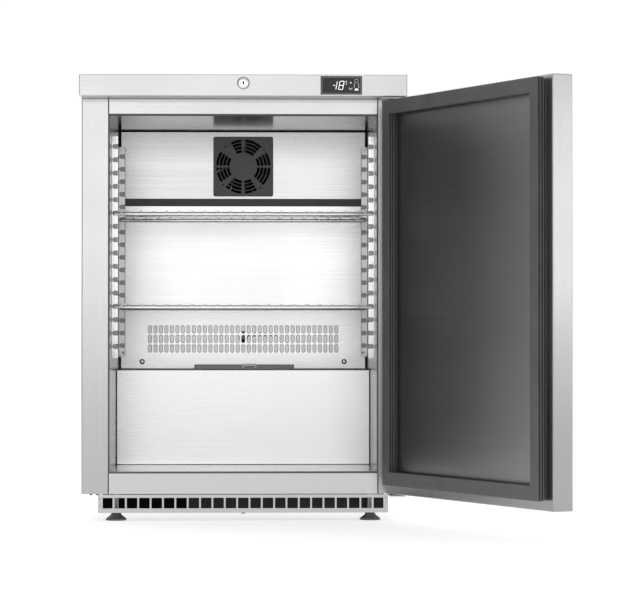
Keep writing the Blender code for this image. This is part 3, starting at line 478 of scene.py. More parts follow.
def painted(name, shade, rough, tint):
    """Black enamel over pressed steel, with orange peel."""
    f = Finish(name, Coat_Weight=0.25, Coat_Roughness=0.25)
    dust = f.noise(16.0, 5.0, 0.7)
    f.tone(dust, grey(shade * 0.8, tint), grey(shade * 1.5, tint))
    f.sheen(dust, rough - 0.08, rough + 0.12)
    f.bump(f.noise(180.0, 2.0, 0.5), 0.00012)
    return f.material


def coppered(name):
    f = Finish(name, Metallic=1.0)
    tarnish = f.noise(30.0, 5.0, 0.65)
    f.tone(tarnish, (0.42, 0.19, 0.10), (0.78, 0.42, 0.26))
    f.sheen(tarnish, 0.22, 0.48)
    f.bump(f.noise(300.0, 2.0, 0.5), 0.00004)
    return f.material


def glazed(name):
    """The dark glossy window over the display."""
    f = Finish(name, IOR=1.5, Coat_Weight=0.5, Coat_Roughness=0.03)
    smudge = f.noise((70.0, 40.0, 110.0), 4.0, 0.6)
    f.tone(smudge, (0.010, 0.010, 0.012), (0.022, 0.022, 0.025))
    f.sheen(smudge, 0.05, 0.14)
    f.bump(smudge, 0.00001)
    return f.material


def lit(name, strength):
    """A lit segment of the display, slightly uneven."""
    f = Finish(name, Roughness=0.4, Emission_Strength=strength)
    glow = f.noise(400.0, 2.0, 0.5)
    f.tone(glow, (0.80, 0.84, 0.88), (0.95, 0.97, 1.0))
    f.tone(glow, (0.84, 0.86, 0.88), (0.96, 0.98, 1.0), "Emission Color")
    return f.material


BLACK_DEEP = moulded("black_deep", 0.010, 0.45, Specular_IOR_Level=0.15)
BLACK_GLOSS = moulded("black_gloss", 0.008, 0.26, depth=0.000005, Specular_IOR_Level=0.09)
SHADE_PAD = moulded("pad_painted_shade", 0.004, 0.9, grain=500.0, depth=0.0004, Specular_IOR_Level=0.05)
FILTER = moulded("filter_mesh", 0.030, 0.8, grain=420.0, depth=0.0008, Specular_IOR_Level=0.2)
# Black sealant, also used for dark fills that paint shade in gaps, behind the drip tab and round the lock's
# rim.
SEALANT_AND_SHADE = rubber("black_sealant_and_shade", 0.006, 0.75)
FIELD = moulded("display_field", 0.035, 0.30, Specular_IOR_Level=0.3)
# Painted shade: these outer stainless finishes darken towards the floor through low.
STAINLESS_X = brushed("stainless_grain_x", 0.66, 0.30, "x", low=0.85)
STAINLESS_Z = brushed("stainless_grain_z", 0.65, 0.30, "z", low=0.68)
STAINLESS_DOOR = brushed("stainless_door", 0.66, 0.28, "z", OPEN, low=0.58)
REAR_SHEET = brushed("galvanised_rear", 0.58, 0.40, "z", contrast=0.07)
LINER = brushed("bright_liner", 0.83, 0.28, "x", contrast=0.012, depth=0.000001)
# The copies below are the same liner steel with painted shade: darker on the fan cover, floor, ledge, ceiling
# and sides, the sides also darker towards the floor. The ceiling copy is also glossier.
LINER_FAN_COVER_SHADED = brushed("bright_liner_fan_cover_shaded", 0.68, 0.28, "x", contrast=0.012, depth=0.000002)
LINER_FLOOR_SHADED = brushed("bright_liner_floor_shaded", 0.68, 0.26, "x", contrast=0.035)
LINER_LEDGE_SHADED = brushed("bright_liner_ledge_shaded", 0.30, 0.36, "x", contrast=0.05)
LINER_GLOSS_SHADED = brushed("bright_liner_ceiling_shaded", 0.26, 0.16, "x", contrast=0.03)
LINER_SIDE_SHADED = brushed("bright_liner_side_shaded", 0.37, 0.26, "y", contrast=0.03, low=0.42)
BAFFLE = brushed("baffle_sheet", 0.76, 0.40, "x", contrast=0.05)
DRIP_STEEL = brushed("drip_steel", 0.18, 0.34, "x", contrast=0.05)
TAB_STEEL = brushed("tab_steel", 0.40, 0.34, "x", contrast=0.05)
PERFORATION_SHADE = brushed("perforation_shade", 0.30, 0.40, "x", contrast=0.05)
# Painted shade: the racks' inner returns and the rear racks are darker copies of the rack steel.
RACK_INSIDE_SHADED = brushed("rack_inside_shaded", 0.30, 0.36, "z", contrast=0.05)
RACK_STEEL = brushed("rack_steel", 0.85, 0.28, "z", contrast=0.03)
RACK_REAR_SHADED = brushed("rack_steel_rear_shaded", 0.74, 0.30, "z", contrast=0.03)
# Painted shade: the plinth's steel is a darker copy of the stainless, dim like the low parts near the floor.
PLINTH_STEEL_SHADED = brushed("plinth_steel", 0.53, 0.34, "x", contrast=0.05)
# Painted reflection: the door's inner stainless is dark, standing in for the dark surroundings that it
# reflects.
DOOR_PANEL_SHADED = brushed("inner_door_steel_painted_shade", 0.36, 0.33, "x", OPEN, contrast=0.08)
HINGE_STEEL = brushed("hinge_steel", 0.62, 0.34, "x", contrast=0.05)
WELD_SHADE = plated("weld_spots_shaded", 0.16, 0.45)
WIRE = plated("shelf_wire", 0.97, 0.24)
CHROME = plated("lock_chrome", 0.74, 0.20)
ZINC = plated("zinc_plate", 0.62, 0.32)
BLACK_PLASTIC = moulded("black_plastic", 0.030, 0.50, tint=0.02)
GRILLE_PLASTIC = moulded("grille_plastic", 0.150, 0.48, tint=0.01)
FOOT_PLASTIC = moulded("foot_plastic", 0.110, 0.28, tint=0.02)
WHITE_PLASTIC = moulded("white_plastic", 0.72, 0.45, tint=-0.02)
GASKET = rubber("gasket_rubber", 0.100, 0.42)
STRIP = rubber("strip_rubber", 0.120, 0.60)
FOAM = foamed("foam")
BOARD = boarded("core_board")
COPPER = coppered("copper")
ALUMINIUM = brushed("aluminium_fins", 0.74, 0.36, "z", contrast=0.06)
BLACK_PAINT = painted("black_enamel", 0.018, 0.42, 0.02)
GLASS = glazed("display_glass")
DIGIT = lit("display_digit", 0.9)


# ---------------------------------------------------------------- cabinet shell


def build_worktop():
    half, inner = WIDTH / 2, WIDTH / 2 - SHEET
    bottom, roof, rear = HEIGHT - FASCIA, HEIGHT - SHEET, DEPTH - SHEET
    body = block((-half, half), (0.0, DEPTH), (bottom, HEIGHT), 0.0016, 3)
    hollow = block((-inner, inner), (SHEET, rear), (bottom + SHEET, roof), 0.0)
    open_below = block((-inner, inner), (BODY_FRONT - 0.0015, rear), (bottom - 0.01, roof - 0.01), 0.0)
    window = front_sheet(rounded(DISPLAY_X, DISPLAY_Z, 0.0008), [], -0.01, 0.01, 0.0)
    lock_hole = faced(drum(0.0096, 0.0, 0.02), 0.0, 0.01, LOCK_Z)
    cam_slot = block((-0.009, 0.031), CAM_SLOT_Y, (bottom - 0.01, bottom + 0.005), 0.0)
    shell = cut(body, hollow, open_below, window, lock_hole, cam_slot)
    piece("worktop_sheet", shell, STAINLESS_X, ["worktop"])


def build_body():
    half, post = BODY_HALF, CAVITY_HALF + 0.0028
    rear = DEPTH - SHEET - GAP
    top = HEIGHT - FASCIA - GAP
    fold, steps = 0.0022, 5
    outline = []
    for i in range(steps + 1):
        turn = math.radians(-90 + 90 * i / steps)
        outline.append((half - fold + fold * math.cos(turn), BODY_FRONT + fold + fold * math.sin(turn)))
    inside = (half - SHEET, BODY_FRONT + SHEET)
    outline += [(half, rear), (inside[0], rear), inside, (post, inside[1]), (post, BODY_FRONT)]
    right = sheet(outline, [], BODY_BOTTOM, top)
    for side, mesh in (("left", mirrored(right)), ("right", right)):
        node = f"side_panel_{side}"
        piece(node + "_sheet", mesh, STAINLESS_Z, [node])

    rail, depth = post - 0.0018, (BODY_FRONT, BODY_FRONT + SHEET)
    top_z, bottom_z = (CAVITY_HIGH + 0.0028, top), (BODY_BOTTOM, CAVITY_LOW - 0.0028)
    for place, z in (("top", top_z), ("bottom", bottom_z)):
        node = f"front_rail_{place}"
        piece(node + "_sheet", block((-rail, rail), depth, z, 0.0005), STAINLESS_X, [node])
    # Black beads in the gaps between the rails' ends and the posts: painted shade in the joints.
    bead, middle = 0.00085, post - 0.0009
    depth = (BODY_FRONT + 0.0001, BODY_FRONT + 0.0010)
    joint_fills = []
    for x in (-middle, middle):
        for z in ((top_z[0], top - 0.0005), (BODY_BOTTOM + 0.0005, bottom_z[1])):
            joint_fills.append(block((x - bead, x + bead), depth, z, 0.0002, 1))
    piece("seam_gap_shade", gathered(*joint_fills), SEALANT_AND_SHADE)

    for node in ("hinge_top", "hinge_bottom"):
        piece(node + "_plate", softened(node, 0.0006), HINGE_STEEL, [node])


def build_rear():
    vents = []
    for column in range(6):
        for row in range(5):
            x, z = -0.245 + 0.086 * column, 0.080 + 0.026 * row
            vents.append(rounded((x, x + 0.060), (z, z + 0.009), 0.0042))
    outline = rectangle((-BODY_HALF, BODY_HALF), (BODY_BOTTOM, HEIGHT - FASCIA - GAP))
    gland = circle(-0.150, 0.222, 0.0085)
    back = front_sheet(outline, [*vents, gland], DEPTH - SHEET, DEPTH, 0.0003)
    piece("rear_sheet", back, REAR_SHEET, ["rear_panel"])

    profile = [(0.0, 0.0), (0.0042, 0.0), (0.0042, 0.0004), (0.0036, 0.0011), (0.0022, 0.0015), (0.0, 0.0016)]
    long, short, deep = (-0.0016, 0.0016), (-0.0004, 0.0004), (0.0008, 0.003)
    head = cut(turned(profile, 24), block(long, short, deep, 0.0), block(short, long, deep, 0.0))
    heads = []
    for x in (-0.288, 0.288):
        for z in (0.070, 0.300, 0.530, 0.760):
            heads.append(moved(head.copy(), (x, DEPTH - 0.0002, z), -math.pi / 2))
    piece("rear_screws", gathered(*heads), ZINC)


# ---------------------------------------------------------------- liner, covers and fan


def build_liner():
    skin, front, step = 0.001, BODY_FRONT + 0.0123, 0.335
    reach = CAVITY_HALF - GAP
    floor = block((-reach, reach), (front, step), (CAVITY_LOW - skin, CAVITY_LOW), 0.0003)
    piece("liner_floor_sheet", floor, LINER_FLOOR_SHADED, ["liner_floor_and_step"])
    half, z = CAVITY_HALF - 0.0019, (CAVITY_LOW + 0.0010, STEP_TOP - 0.0018)
    face = block((-half, half), (step - 0.0004, step + 0.0006), z, 0.0003)
    piece("step_front_sheet", face, LINER)

    z = (CAVITY_LOW - skin, STEP_TOP - 0.0012)
    backing = block((-reach, reach), (step + 0.0008, step + 0.0014), z, 0.0002, 1)
    z = (STEP_TOP - 0.0016, STEP_TOP - 0.0001)
    edge = block((-reach, reach), (step - 0.0003, step + 0.0030), z, 0.0003)
    piece("step_seals", gathered(backing, edge), SEALANT_AND_SHADE)
    outline = rectangle((-reach, reach), (step + 0.0032, 0.541))
    pipe_holes = [circle(0.0055, 0.500, 0.0095), circle(0.185, 0.515, 0.0060)]
    top = sheet(outline, pipe_holes, STEP_TOP - skin, STEP_TOP)
    piece("step_top_sheet", top, LINER_LEDGE_SHADED)


def obround(x, z, width, height, steps=5):
    radius = width / 2
    return rounded((x - radius, x + radius), (z - height / 2, z + height / 2), radius, steps)


def build_covers():
    face = (COVER_FACE, COVER_FACE + 0.001)
    half, low, high = COVER_HALF - 0.0032, STEP_TOP + 0.0005, CAVITY_HIGH - 0.0026
    fan_hole = circle(0.0, FAN_Z, FAN_BORE)
    upper = front_sheet(rectangle((-half, half), (SPLIT_HIGH, high)), [fan_hole], *face, 0.0003)
    piece("fan_cover_sheet", upper, LINER_FAN_COVER_SHADED, ["fan_cover"])

    columns, pitch = 35, 0.0109
    spots = [((i - columns // 2) * pitch, z) for z in (0.316, 0.335, 0.354) for i in range(columns)]
    holes = [obround(x, z, 0.0073, 0.016) for x, z in spots]
    holes += [circle(x, COVER_SCREW_Z, 0.0026, 20) for x in COVER_SCREW_X]
    outline = rectangle((-half, half), (low, SPLIT_LOW))
    outline[1:1] = [(-0.0965, low), (-0.0965, 0.2842), (0.1005, 0.2842), (0.1005, low)]
    lower = front_sheet(outline, holes, *face, 0.0003)
    piece("perforated_cover_sheet", lower, LINER, ["perforated_cover"])

    # Black strips behind the gaps round the fan cover and at the cover's sides: painted shade in the gaps.
    reach, wall = CAVITY_HALF - GAP, half - 0.003
    depth = (COVER_FACE + 0.0015, COVER_FACE + 0.0055)
    gap_strips = [block((-reach, reach), depth, (high - 0.004, CAVITY_HIGH - GAP), 0.0003, 1)]
    for x in ((-reach, -wall), (wall, reach)):
        for z in ((SPLIT_HIGH + 0.006, high - 0.0042), (0.3000, SPLIT_LOW - 0.006)):
            gap_strips.append(block(x, depth, z, 0.0003, 1))
    piece("cover_gap_shade", gathered(*gap_strips), SEALANT_AND_SHADE)
    half, z = COVER_HALF - 0.001, (SPLIT_LOW - 0.004, SPLIT_HIGH + 0.0043)
    band = block((-half, half), (COVER_FACE + 0.002, COVER_FACE + 0.006), z, 0.0004)
    piece("cover_joint_band", band, STRIP, ["cover_joint_strip"])

    # Dark rings just behind the slots' edges: painted shade that outlines the perforations.
    edge = (COVER_FACE + 0.0011, COVER_FACE + 0.0014)
    edges = [front_sheet(obround(x, z, 0.0077, 0.0164), [obround(x, z, 0.0059, 0.0146)], *edge, 0.0)
             for x, z in spots]
    piece("perforation_shade_rings", gathered(*edges), PERFORATION_SHADE, weigh=False)
    baffle = block((-0.196, 0.196), (COVER_FACE + 0.0044, COVER_FACE + 0.0050), (0.302, 0.368), 0.0002, 1)
    piece("air_baffle", baffle, BAFFLE)


def build_cover_screws():
    profile = [(0.0, 0.0), (0.0022, 0.0), (0.0022, 0.0113), (0.0038, 0.0113), (0.0038, 0.0120),
               (0.0034, 0.0129), (0.0026, 0.0134), (0.0, 0.0135)]
    screw = cut(turned(profile, 28), drum(0.0016, 0.0126, 0.02, 6))
    rings = []
    for side, x in zip(("left", "right"), COVER_SCREW_X):
        head = faced(screw.copy(), x, COVER_FACE + 0.011, COVER_SCREW_Z)
        piece(f"cover_screw_{side}_head", head, CHROME, [f"cover_screw_{side}"])
        rings.append(faced(washer(0.0026, 0.0052, 0.0002, 32), x, COVER_FACE - 0.00005, COVER_SCREW_Z))
    piece("cover_screw_washers", gathered(*rings), SEALANT_AND_SHADE)


def build_drip_tab():
    outline = rounded((-0.0022, 0.0262), (STEP_TOP + 0.0006, STEP_TOP + 0.0094), 0.0012)
    hole = rounded((0.0008, 0.0226), (STEP_TOP + 0.0022, STEP_TOP + 0.0040), 0.0008)
    tab = front_sheet(outline, [hole], COVER_FACE - 0.0072, COVER_FACE - 0.0062, 0.0003)
    piece("drip_bar_tab", tab, TAB_STEEL)
    # A black fill behind the tab's slot: painted shade in it.
    y, z = (COVER_FACE - 0.00615, COVER_FACE - 0.00605), (STEP_TOP + 0.0018, STEP_TOP + 0.0044)
    piece("drip_bar_slot_shade", block((0.0002, 0.0232), y, z, 0.0), SEALANT_AND_SHADE, weigh=False)


def build_air_probe():
    outline = obround(0.0, 0.339, 0.0180, 0.0230, 8)
    body = front_sheet(outline, [], COVER_FACE + 0.0018, COVER_FACE + 0.0040, 0.0006, 2)
    lead_y = COVER_FACE + 0.0030
    lead = rod((0.006, lead_y, 0.3410), (0.0680, lead_y, 0.3420), 0.0010)
    piece("air_probe", gathered(body, lead), BLACK_DEEP)
    marks = []
    for z in (0.3365, 0.3395):
        depth = (COVER_FACE + 0.0015, COVER_FACE + 0.0019)
        marks.append(block((-0.0028, 0.0028), depth, (z - 0.0005, z + 0.0005), 0.0001, 1))
    piece("air_probe_marks", gathered(*marks), WHITE_PLASTIC)


def arc_slot(inner, outer, start, end):
    """A curved slot, angles in degrees, drawn in at its four corners."""
    steps = 10
    points = []
    for side, first, last, inset in ((outer, start, end, -0.0005), (inner, end, start, 0.0005)):
        for i in range(steps + 1):
            turn = math.radians(first + (last - first) * i / steps)
            radius = side + (inset if i in (0, steps) else 0.0)
            points.append((radius * math.cos(turn), FAN_Z + radius * math.sin(turn)))
    return points


def build_fan():
    front, back = COVER_FACE - 0.0035, COVER_FACE - GAP
    square = rounded((-FAN_HALF, FAN_HALF), (FAN_Z - FAN_HALF, FAN_Z + FAN_HALF), 0.0042, 6)
    sectors = ((2, 32), (47, 87), (94, 118), (146, 178), (181.5, 216), (229, 266), (273, 301), (316, 358))
    openings = []
    for inner, outer in ((0.0280, 0.0332), (0.0350, 0.0402), (0.0420, 0.0472), (0.0490, 0.0540)):
        pad = math.degrees(0.0004 / inner)
        openings += [arc_slot(inner, outer, start + pad, end - pad) for start, end in sectors]
    for angle in (39.5, 132, 222.5, 308.5):
        turn, reach = math.radians(angle), 0.0535
        openings.append(circle(reach * math.cos(turn), FAN_Z + reach * math.sin(turn), 0.0016, 16))
    grille = front_sheet(square, openings, front + 0.0008, back, 0.0003)
    disc = turned([(0.0, 0.0), (0.0240, 0.0), (0.0236, 0.0005), (0.0, 0.0006)], 64)
    disc = faced(disc, 0.0, front + 0.0009, FAN_Z)
    piece("fan_grille_moulding", gathered(grille, disc), GRILLE_PLASTIC, ["fan_grille"])

    profile = [(0.0, 0.0), (0.0235, 0.0), (0.0235, 0.0195), (0.0228, 0.0212), (0.0210, 0.0220), (0.0, 0.0220)]
    count = 7
    blades = [blade(0.0220, 0.0545, 0.0205, 360 / count * i) for i in range(count)]
    rotor = faced(gathered(turned(profile, 48), *blades), 0.0, COVER_FACE + 0.0345, FAN_Z)
    piece("evaporator_fan_blades", rotor, BLACK_GLOSS, ["evaporator_fan_rotor"],
          "evaporator_fan", weigh=False)


def blade(root, tip, depth, angle):
    """A fan blade: a cambered surface between two radii that twists from its root to its tip."""
    rows, columns, thick = 6, 8, 0.0012
    bm = bmesh.new()
    layers = []
    for side in (-1, 1):
        grid = []
        for i in range(rows + 1):
            share = i / rows
            radius = root + (tip - root) * share
            width = math.radians(50 - 1.5 * share)
            lean = math.radians(10 * share)
            line = []
            for j in range(columns + 1):
                t = j / columns
                turn = width * (t - 0.5) + lean
                camber = 0.0016 * math.sin(math.pi * t)
                taper = math.sin(math.pi * min(1, t * 4 + 0.15) / 2)
                height = depth * (0.06 + 0.88 * t) + camber + side * thick / 2 * taper
                line.append(bm.verts.new((radius * math.cos(turn), radius * math.sin(turn), height)))
            grid.append(line)
        layers.append(grid)
    low, high = layers
    for grid, flip in ((low, True), (high, False)):
        for i in range(rows):
            for j in range(columns):
                face = [grid[i][j], grid[i + 1][j], grid[i + 1][j + 1], grid[i][j + 1]]
                bm.faces.new(face[::-1] if flip else face)
    for i in range(rows):
        bm.faces.new((low[i][0], low[i + 1][0], high[i + 1][0], high[i][0]))
        bm.faces.new((low[i][-1], high[i][-1], high[i + 1][-1], low[i + 1][-1]))
    for j in range(columns):
        bm.faces.new((low[0][j], high[0][j], high[0][j + 1], low[0][j + 1]))
        bm.faces.new((low[-1][j], low[-1][j + 1], high[-1][j + 1], high[-1][j]))
    bmesh.ops.rotate(bm, verts=bm.verts, cent=(0, 0, 0), matrix=Matrix.Rotation(math.radians(angle), 3, "Z"))
    return bm_mesh(bm)


# ---------------------------------------------------------------- racks and shelves


def build_racks():
    wall, tip = CAVITY_HALF - 0.0005, CAVITY_HALF - 0.012
    seat, radius, soft = CAVITY_HALF - 0.0058, 0.0045, 0.0006
    low, high = 0.300, 0.716
    lip = [(tip + soft * (1 - math.cos(t)), radius + soft * (1 - math.sin(t)))
           for t in (0.0, math.pi / 4, math.pi / 2)]
    outline = [(wall, high), (wall, low), (tip, low)]
    for i in range(16):
        z = NOTCH_LOW + NOTCH_PITCH * i
        outline += [(x, z - rise) for x, rise in lip]
        for step in range(13):
            turn = math.radians(-90 + 15 * step)
            outline.append((seat + radius * math.cos(turn), z + radius * math.sin(turn)))
        outline += [(x, z + rise) for x, rise in reversed(lip)]
    outline.append((tip, high))
    screw_hole = circle(CAVITY_HALF - 0.0088, 0.3080, 0.0024, 20)
    variants = (("front", RACK_STEEL, [], tip + 0.0015), ("rear", RACK_REAR_SHADED, [screw_hole], tip - 0.0008))
    for plane, (place, material, holes, reach) in zip(RACK_PLANES, variants):
        flange = front_sheet(outline, holes, plane - 0.0005, plane + 0.0005)
        web = block((wall - 0.0006, wall + 0.0002), (plane + 0.0004, plane + 0.0070), (low, high), 0.0003)
        right = gathered(flange, web)
        # The inner return behind each flange is darker steel: painted shade that shows through the notches.
        depth = (plane + 0.0036, plane + 0.0041)
        inside = block((reach, wall - 0.0008), depth, (low + 0.001, high - 0.001), 0.0)
        both = gathered(inside, mirrored(inside))
        piece(f"rack_{place}_insides", both, RACK_INSIDE_SHADED, weigh=False)
        for side, mesh in (("left", mirrored(right)), ("right", right)):
            node = f"rack_{place}_{side}"
            piece(node + "_strip", mesh, material, [node])


def build_shelves():
    front, rear = RACK_PLANES
    middle, end, side = (front + rear) / 2, 0.2438, 0.229
    near, far = front - 0.0026, rear + 0.0026
    count, pitch = 19, 0.024
    for name, notch in SHELF_NOTCHES.items():
        level = NOTCH_LOW + NOTCH_PITCH * notch - 0.0012
        top, cross = level + 0.0038, level + 0.0010
        wires = [rod((-end, y, level), (end, y, level), 0.0033, 16, 0.75) for y in (front, rear)]
        wires += [rod((x, near, top), (x, far, top), 0.0025) for x in (-side, side)]
        spots = []
        for i in range(count):
            x = (i - count // 2) * pitch
            wires.append(rod((x, near, top), (x, far, top), 0.0018, 10, 0.7))
            spots += [weld(x, y, level + 0.0018) for y in (front + 0.0036, rear - 0.0036)]
        wires.append(rod((-0.230, middle, cross), (0.230, middle, cross), 0.0018))
        piece(name + "_wires", gathered(*wires), WIRE, [name], name, weigh=False)
        piece(name + "_weld_shades", gathered(*spots), WELD_SHADE, body=name, weigh=False)


def weld(x, y, z):
    """The small bead where two wires are welded, dark to paint the shade where the wires meet."""
    bead = turned([(0.0, -0.0009), (0.0015, -0.0006), (0.0021, 0.0), (0.0015, 0.0006), (0.0, 0.0009)], 8)
    return moved(bead, (x, y, z))


# ---------------------------------------------------------------- lock and display


def build_lock():
    profile = [(0.0063, 0.0), (0.0092, 0.0), (0.0092, 0.0210), (0.0108, 0.0210), (0.0108, 0.0214),
               (0.0104, 0.0224), (0.0097, 0.0231), (0.0090, 0.0233), (0.0066, 0.0233), (0.0063, 0.0230),
               (0.0063, 0.0)]
    ring = faced(turned(profile, 64), 0.0, 0.0207, LOCK_Z)
    piece("lock_ring", ring, CHROME, ["lock_housing"], smooth=35, weigh=False)
    # A thin black ring behind the lock's rim: painted shadow in the gap round it.
    seal = faced(washer(0.0094, 0.0114, 0.00025, 64), 0.0, 0.0, LOCK_Z)
    piece("lock_shadow_ring", seal, SEALANT_AND_SHADE, weigh=False)
    profile = [(0.0, 0.0), (0.0061, 0.0), (0.0061, 0.0261), (0.0059, 0.0263), (0.0, 0.0263)]
    plug = faced(turned(profile, 48), 0.0, 0.0237, LOCK_Z)
    plug = cut(plug, block((-0.0012, 0.0012), (-0.01, 0.006), (LOCK_Z - 0.0032, LOCK_Z + 0.0032), 0.0))
    piece("lock_plug_face", plug, CHROME, ["lock_cylinder"], "lock_plug",
          smooth=35, weigh=False)
    # A black fill in the keyway: painted shade in its depth.
    keyway = block((-0.0011, 0.0011), (0.0004, 0.0010), (LOCK_Z - 0.0031, LOCK_Z + 0.0031), 0.0)
    piece("lock_keyway_shade", keyway, BLACK_DEEP, body="lock_plug", weigh=False)


def build_display():
    x = (DISPLAY_X[0] + GAP, DISPLAY_X[1] - GAP)
    z = (DISPLAY_Z[0] + GAP, DISPLAY_Z[1] - GAP)
    glass = front_sheet(rounded(x, z, 0.0009), [], 0.0002, 0.0040, 0.0003, 2)
    piece("display_glass_pane", glass, GLASS, ["display_window"])
    field = front_sheet(rounded((0.1450, 0.2130), (0.7865, 0.8135), 0.0010), [], 0.00013, 0.00019, 0.0)
    piece("display_field", field, FIELD, weigh=False)
    piece("display_digits", readout(), DIGIT, weigh=False)


def readout():
    """A minus sign, seven-segment figures and plain marks, drawn in X and Z."""
    lean = math.tan(math.radians(11))
    middle, half, width = 0.8000, 0.0076, 0.0012
    parts = []

    def mark(outline, holes=()):
        parts.append(front_sheet(outline, holes, 0.00003, 0.00011, 0.0))

    def bar(x0, z0, x1, z1):
        """A bar from one point to another, with pointed ends."""
        a, b = Vector((x0, z0)), Vector((x1, z1))
        along = (b - a).normalized() * width / 2
        across = Vector((-along.y, along.x))
        points = [a, a + along + across, b - along + across, b, b - along - across, a + along - across]
        mark([(p.x + (p.y - middle) * lean, p.y) for p in points])

    def digit(x, wide, segments):
        left, right, top, foot = x, x + wide, middle + half, middle - half
        spots = {
            "a": (left, top, right, top),
            "b": (right, top, right, middle),
            "c": (right, middle, right, foot),
            "d": (left, foot, right, foot),
            "e": (left, middle, left, foot),
            "f": (left, top, left, middle),
            "g": (left, middle, right, middle),
        }
        for key in segments:
            bar(*spots[key])

    bar(0.1638, middle, 0.1680, middle)
    digit(0.1620, 0.0084, "bc")
    digit(0.1752, 0.0076, "abcdefg")

    x, z = 0.1882, 0.8070
    mark(circle(x, z, 0.0012, 16), [circle(x, z, 0.0006, 12)])
    mark(rectangle((x - 0.0010, x + 0.0010), (0.8020, 0.8032)))
    x, z = 0.1962, 0.7952
    mark(circle(x, 0.8048, 0.0012, 16))
    for i in range(7):
        turn = math.radians(180 + 30 * i)
        mark(circle(x + 0.0024 * math.cos(turn), z + 0.0024 * math.sin(turn), 0.0005, 10))
    x, z = 0.2068, 0.8082
    mark(circle(x, z, 0.0034, 28), [circle(x, z, 0.0031, 28)])
    for side in (x - 0.0038, x + 0.0038):
        mark(rectangle((side - 0.0002, side + 0.0002), (0.7950, 0.8040)))
    turns = [math.pi * i / 12 for i in range(13)]
    mark([(x + 0.0036 * math.cos(t), 0.7908 + 0.0036 * math.sin(t)) for t in turns])
    return gathered(*parts)


# ---------------------------------------------------------------- door


def build_door():
    half, skin = DOOR_HALF, 0.001
    shell = block((-half, half), (DOOR_FRONT, DOOR_BACK), (DOOR_LOW, DOOR_HIGH), 0.0020, 4)
    inner, z = half - skin, (DOOR_LOW + skin, DOOR_HIGH - skin)
    hollow = block((-inner, inner), (DOOR_FRONT + skin, DOOR_BACK - skin), z, 0.0)
    mouth_x = (SEAL_LEFT + SEAL_WIDTH / 2, SEAL_RIGHT - SEAL_WIDTH / 2)
    mouth_z = (SEAL_LOW + SEAL_WIDTH / 2, SEAL_HIGH - SEAL_WIDTH / 2)
    mouth = block(mouth_x, (DOOR_FRONT + 0.01, DOOR_BACK + 0.01), mouth_z, 0.0)
    bores = []
    for z in (DOOR_LOW - 0.012, DOOR_HIGH - 0.018):
        bores.append(moved(drum(0.0063, 0.0, 0.030, 32), (HINGE.x, HINGE.y, z)))
    strike = block((-0.009, 0.026), CAM_SLOT_Y, (DOOR_HIGH - 0.010, DOOR_HIGH + 0.01), 0.0)
    outer = cut(shell, hollow, mouth, *bores, strike)
    piece("door_outer_skin", outer, STAINLESS_DOOR, ["door_skin"], "door")

    panel_x = (mouth_x[0] + GAP, mouth_x[1] - GAP)
    panel_z = (mouth_z[0] + GAP, mouth_z[1] - GAP)
    panel = block(panel_x, (DOOR_BACK - skin, DOOR_BACK), panel_z, 0.0003)
    piece("door_liner_sheet", panel, DOOR_PANEL_SHADED, ["door_inner_panel"], "door")

    depth, width, groove = SEAL_DEPTH, SEAL_WIDTH, 0.0003
    side = [
        (0.0035, 0.0), (0.0035, 0.0012), (0.0062, 0.0020), (0.0062, 0.0042), (0.0008, 0.0054),
        (0.0004, 0.0064), (0.0008, 0.0074), (0.0042, 0.0084), (0.0042, 0.0096), (0.0004, 0.0108),
        (0.0002, 0.0121), (0.0004, 0.0134), (0.0042, 0.0144), (0.0042, 0.0156), (0.0, 0.0165),
        (0.0, depth - 0.0008), (0.0003, depth - 0.0002), (0.0009, depth),
    ]
    section = side + [(width / 2 - 0.0030, depth), (width / 2 - 0.0024, depth - groove)]
    section += [(width - inset, rise) for inset, rise in reversed(section)]
    seal = framed(section, SEAL_LEFT, SEAL_RIGHT, SEAL_LOW, SEAL_HIGH, DOOR_BACK + GAP)
    piece("door_gasket_bellows", seal, GASKET, ["door_gasket"], "door", smooth=38)

    for node in ("hinge_bush_bottom", "hinge_bush_top"):
        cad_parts[node].data.shade_smooth()


# ---------------------------------------------------------------- plinth and feet


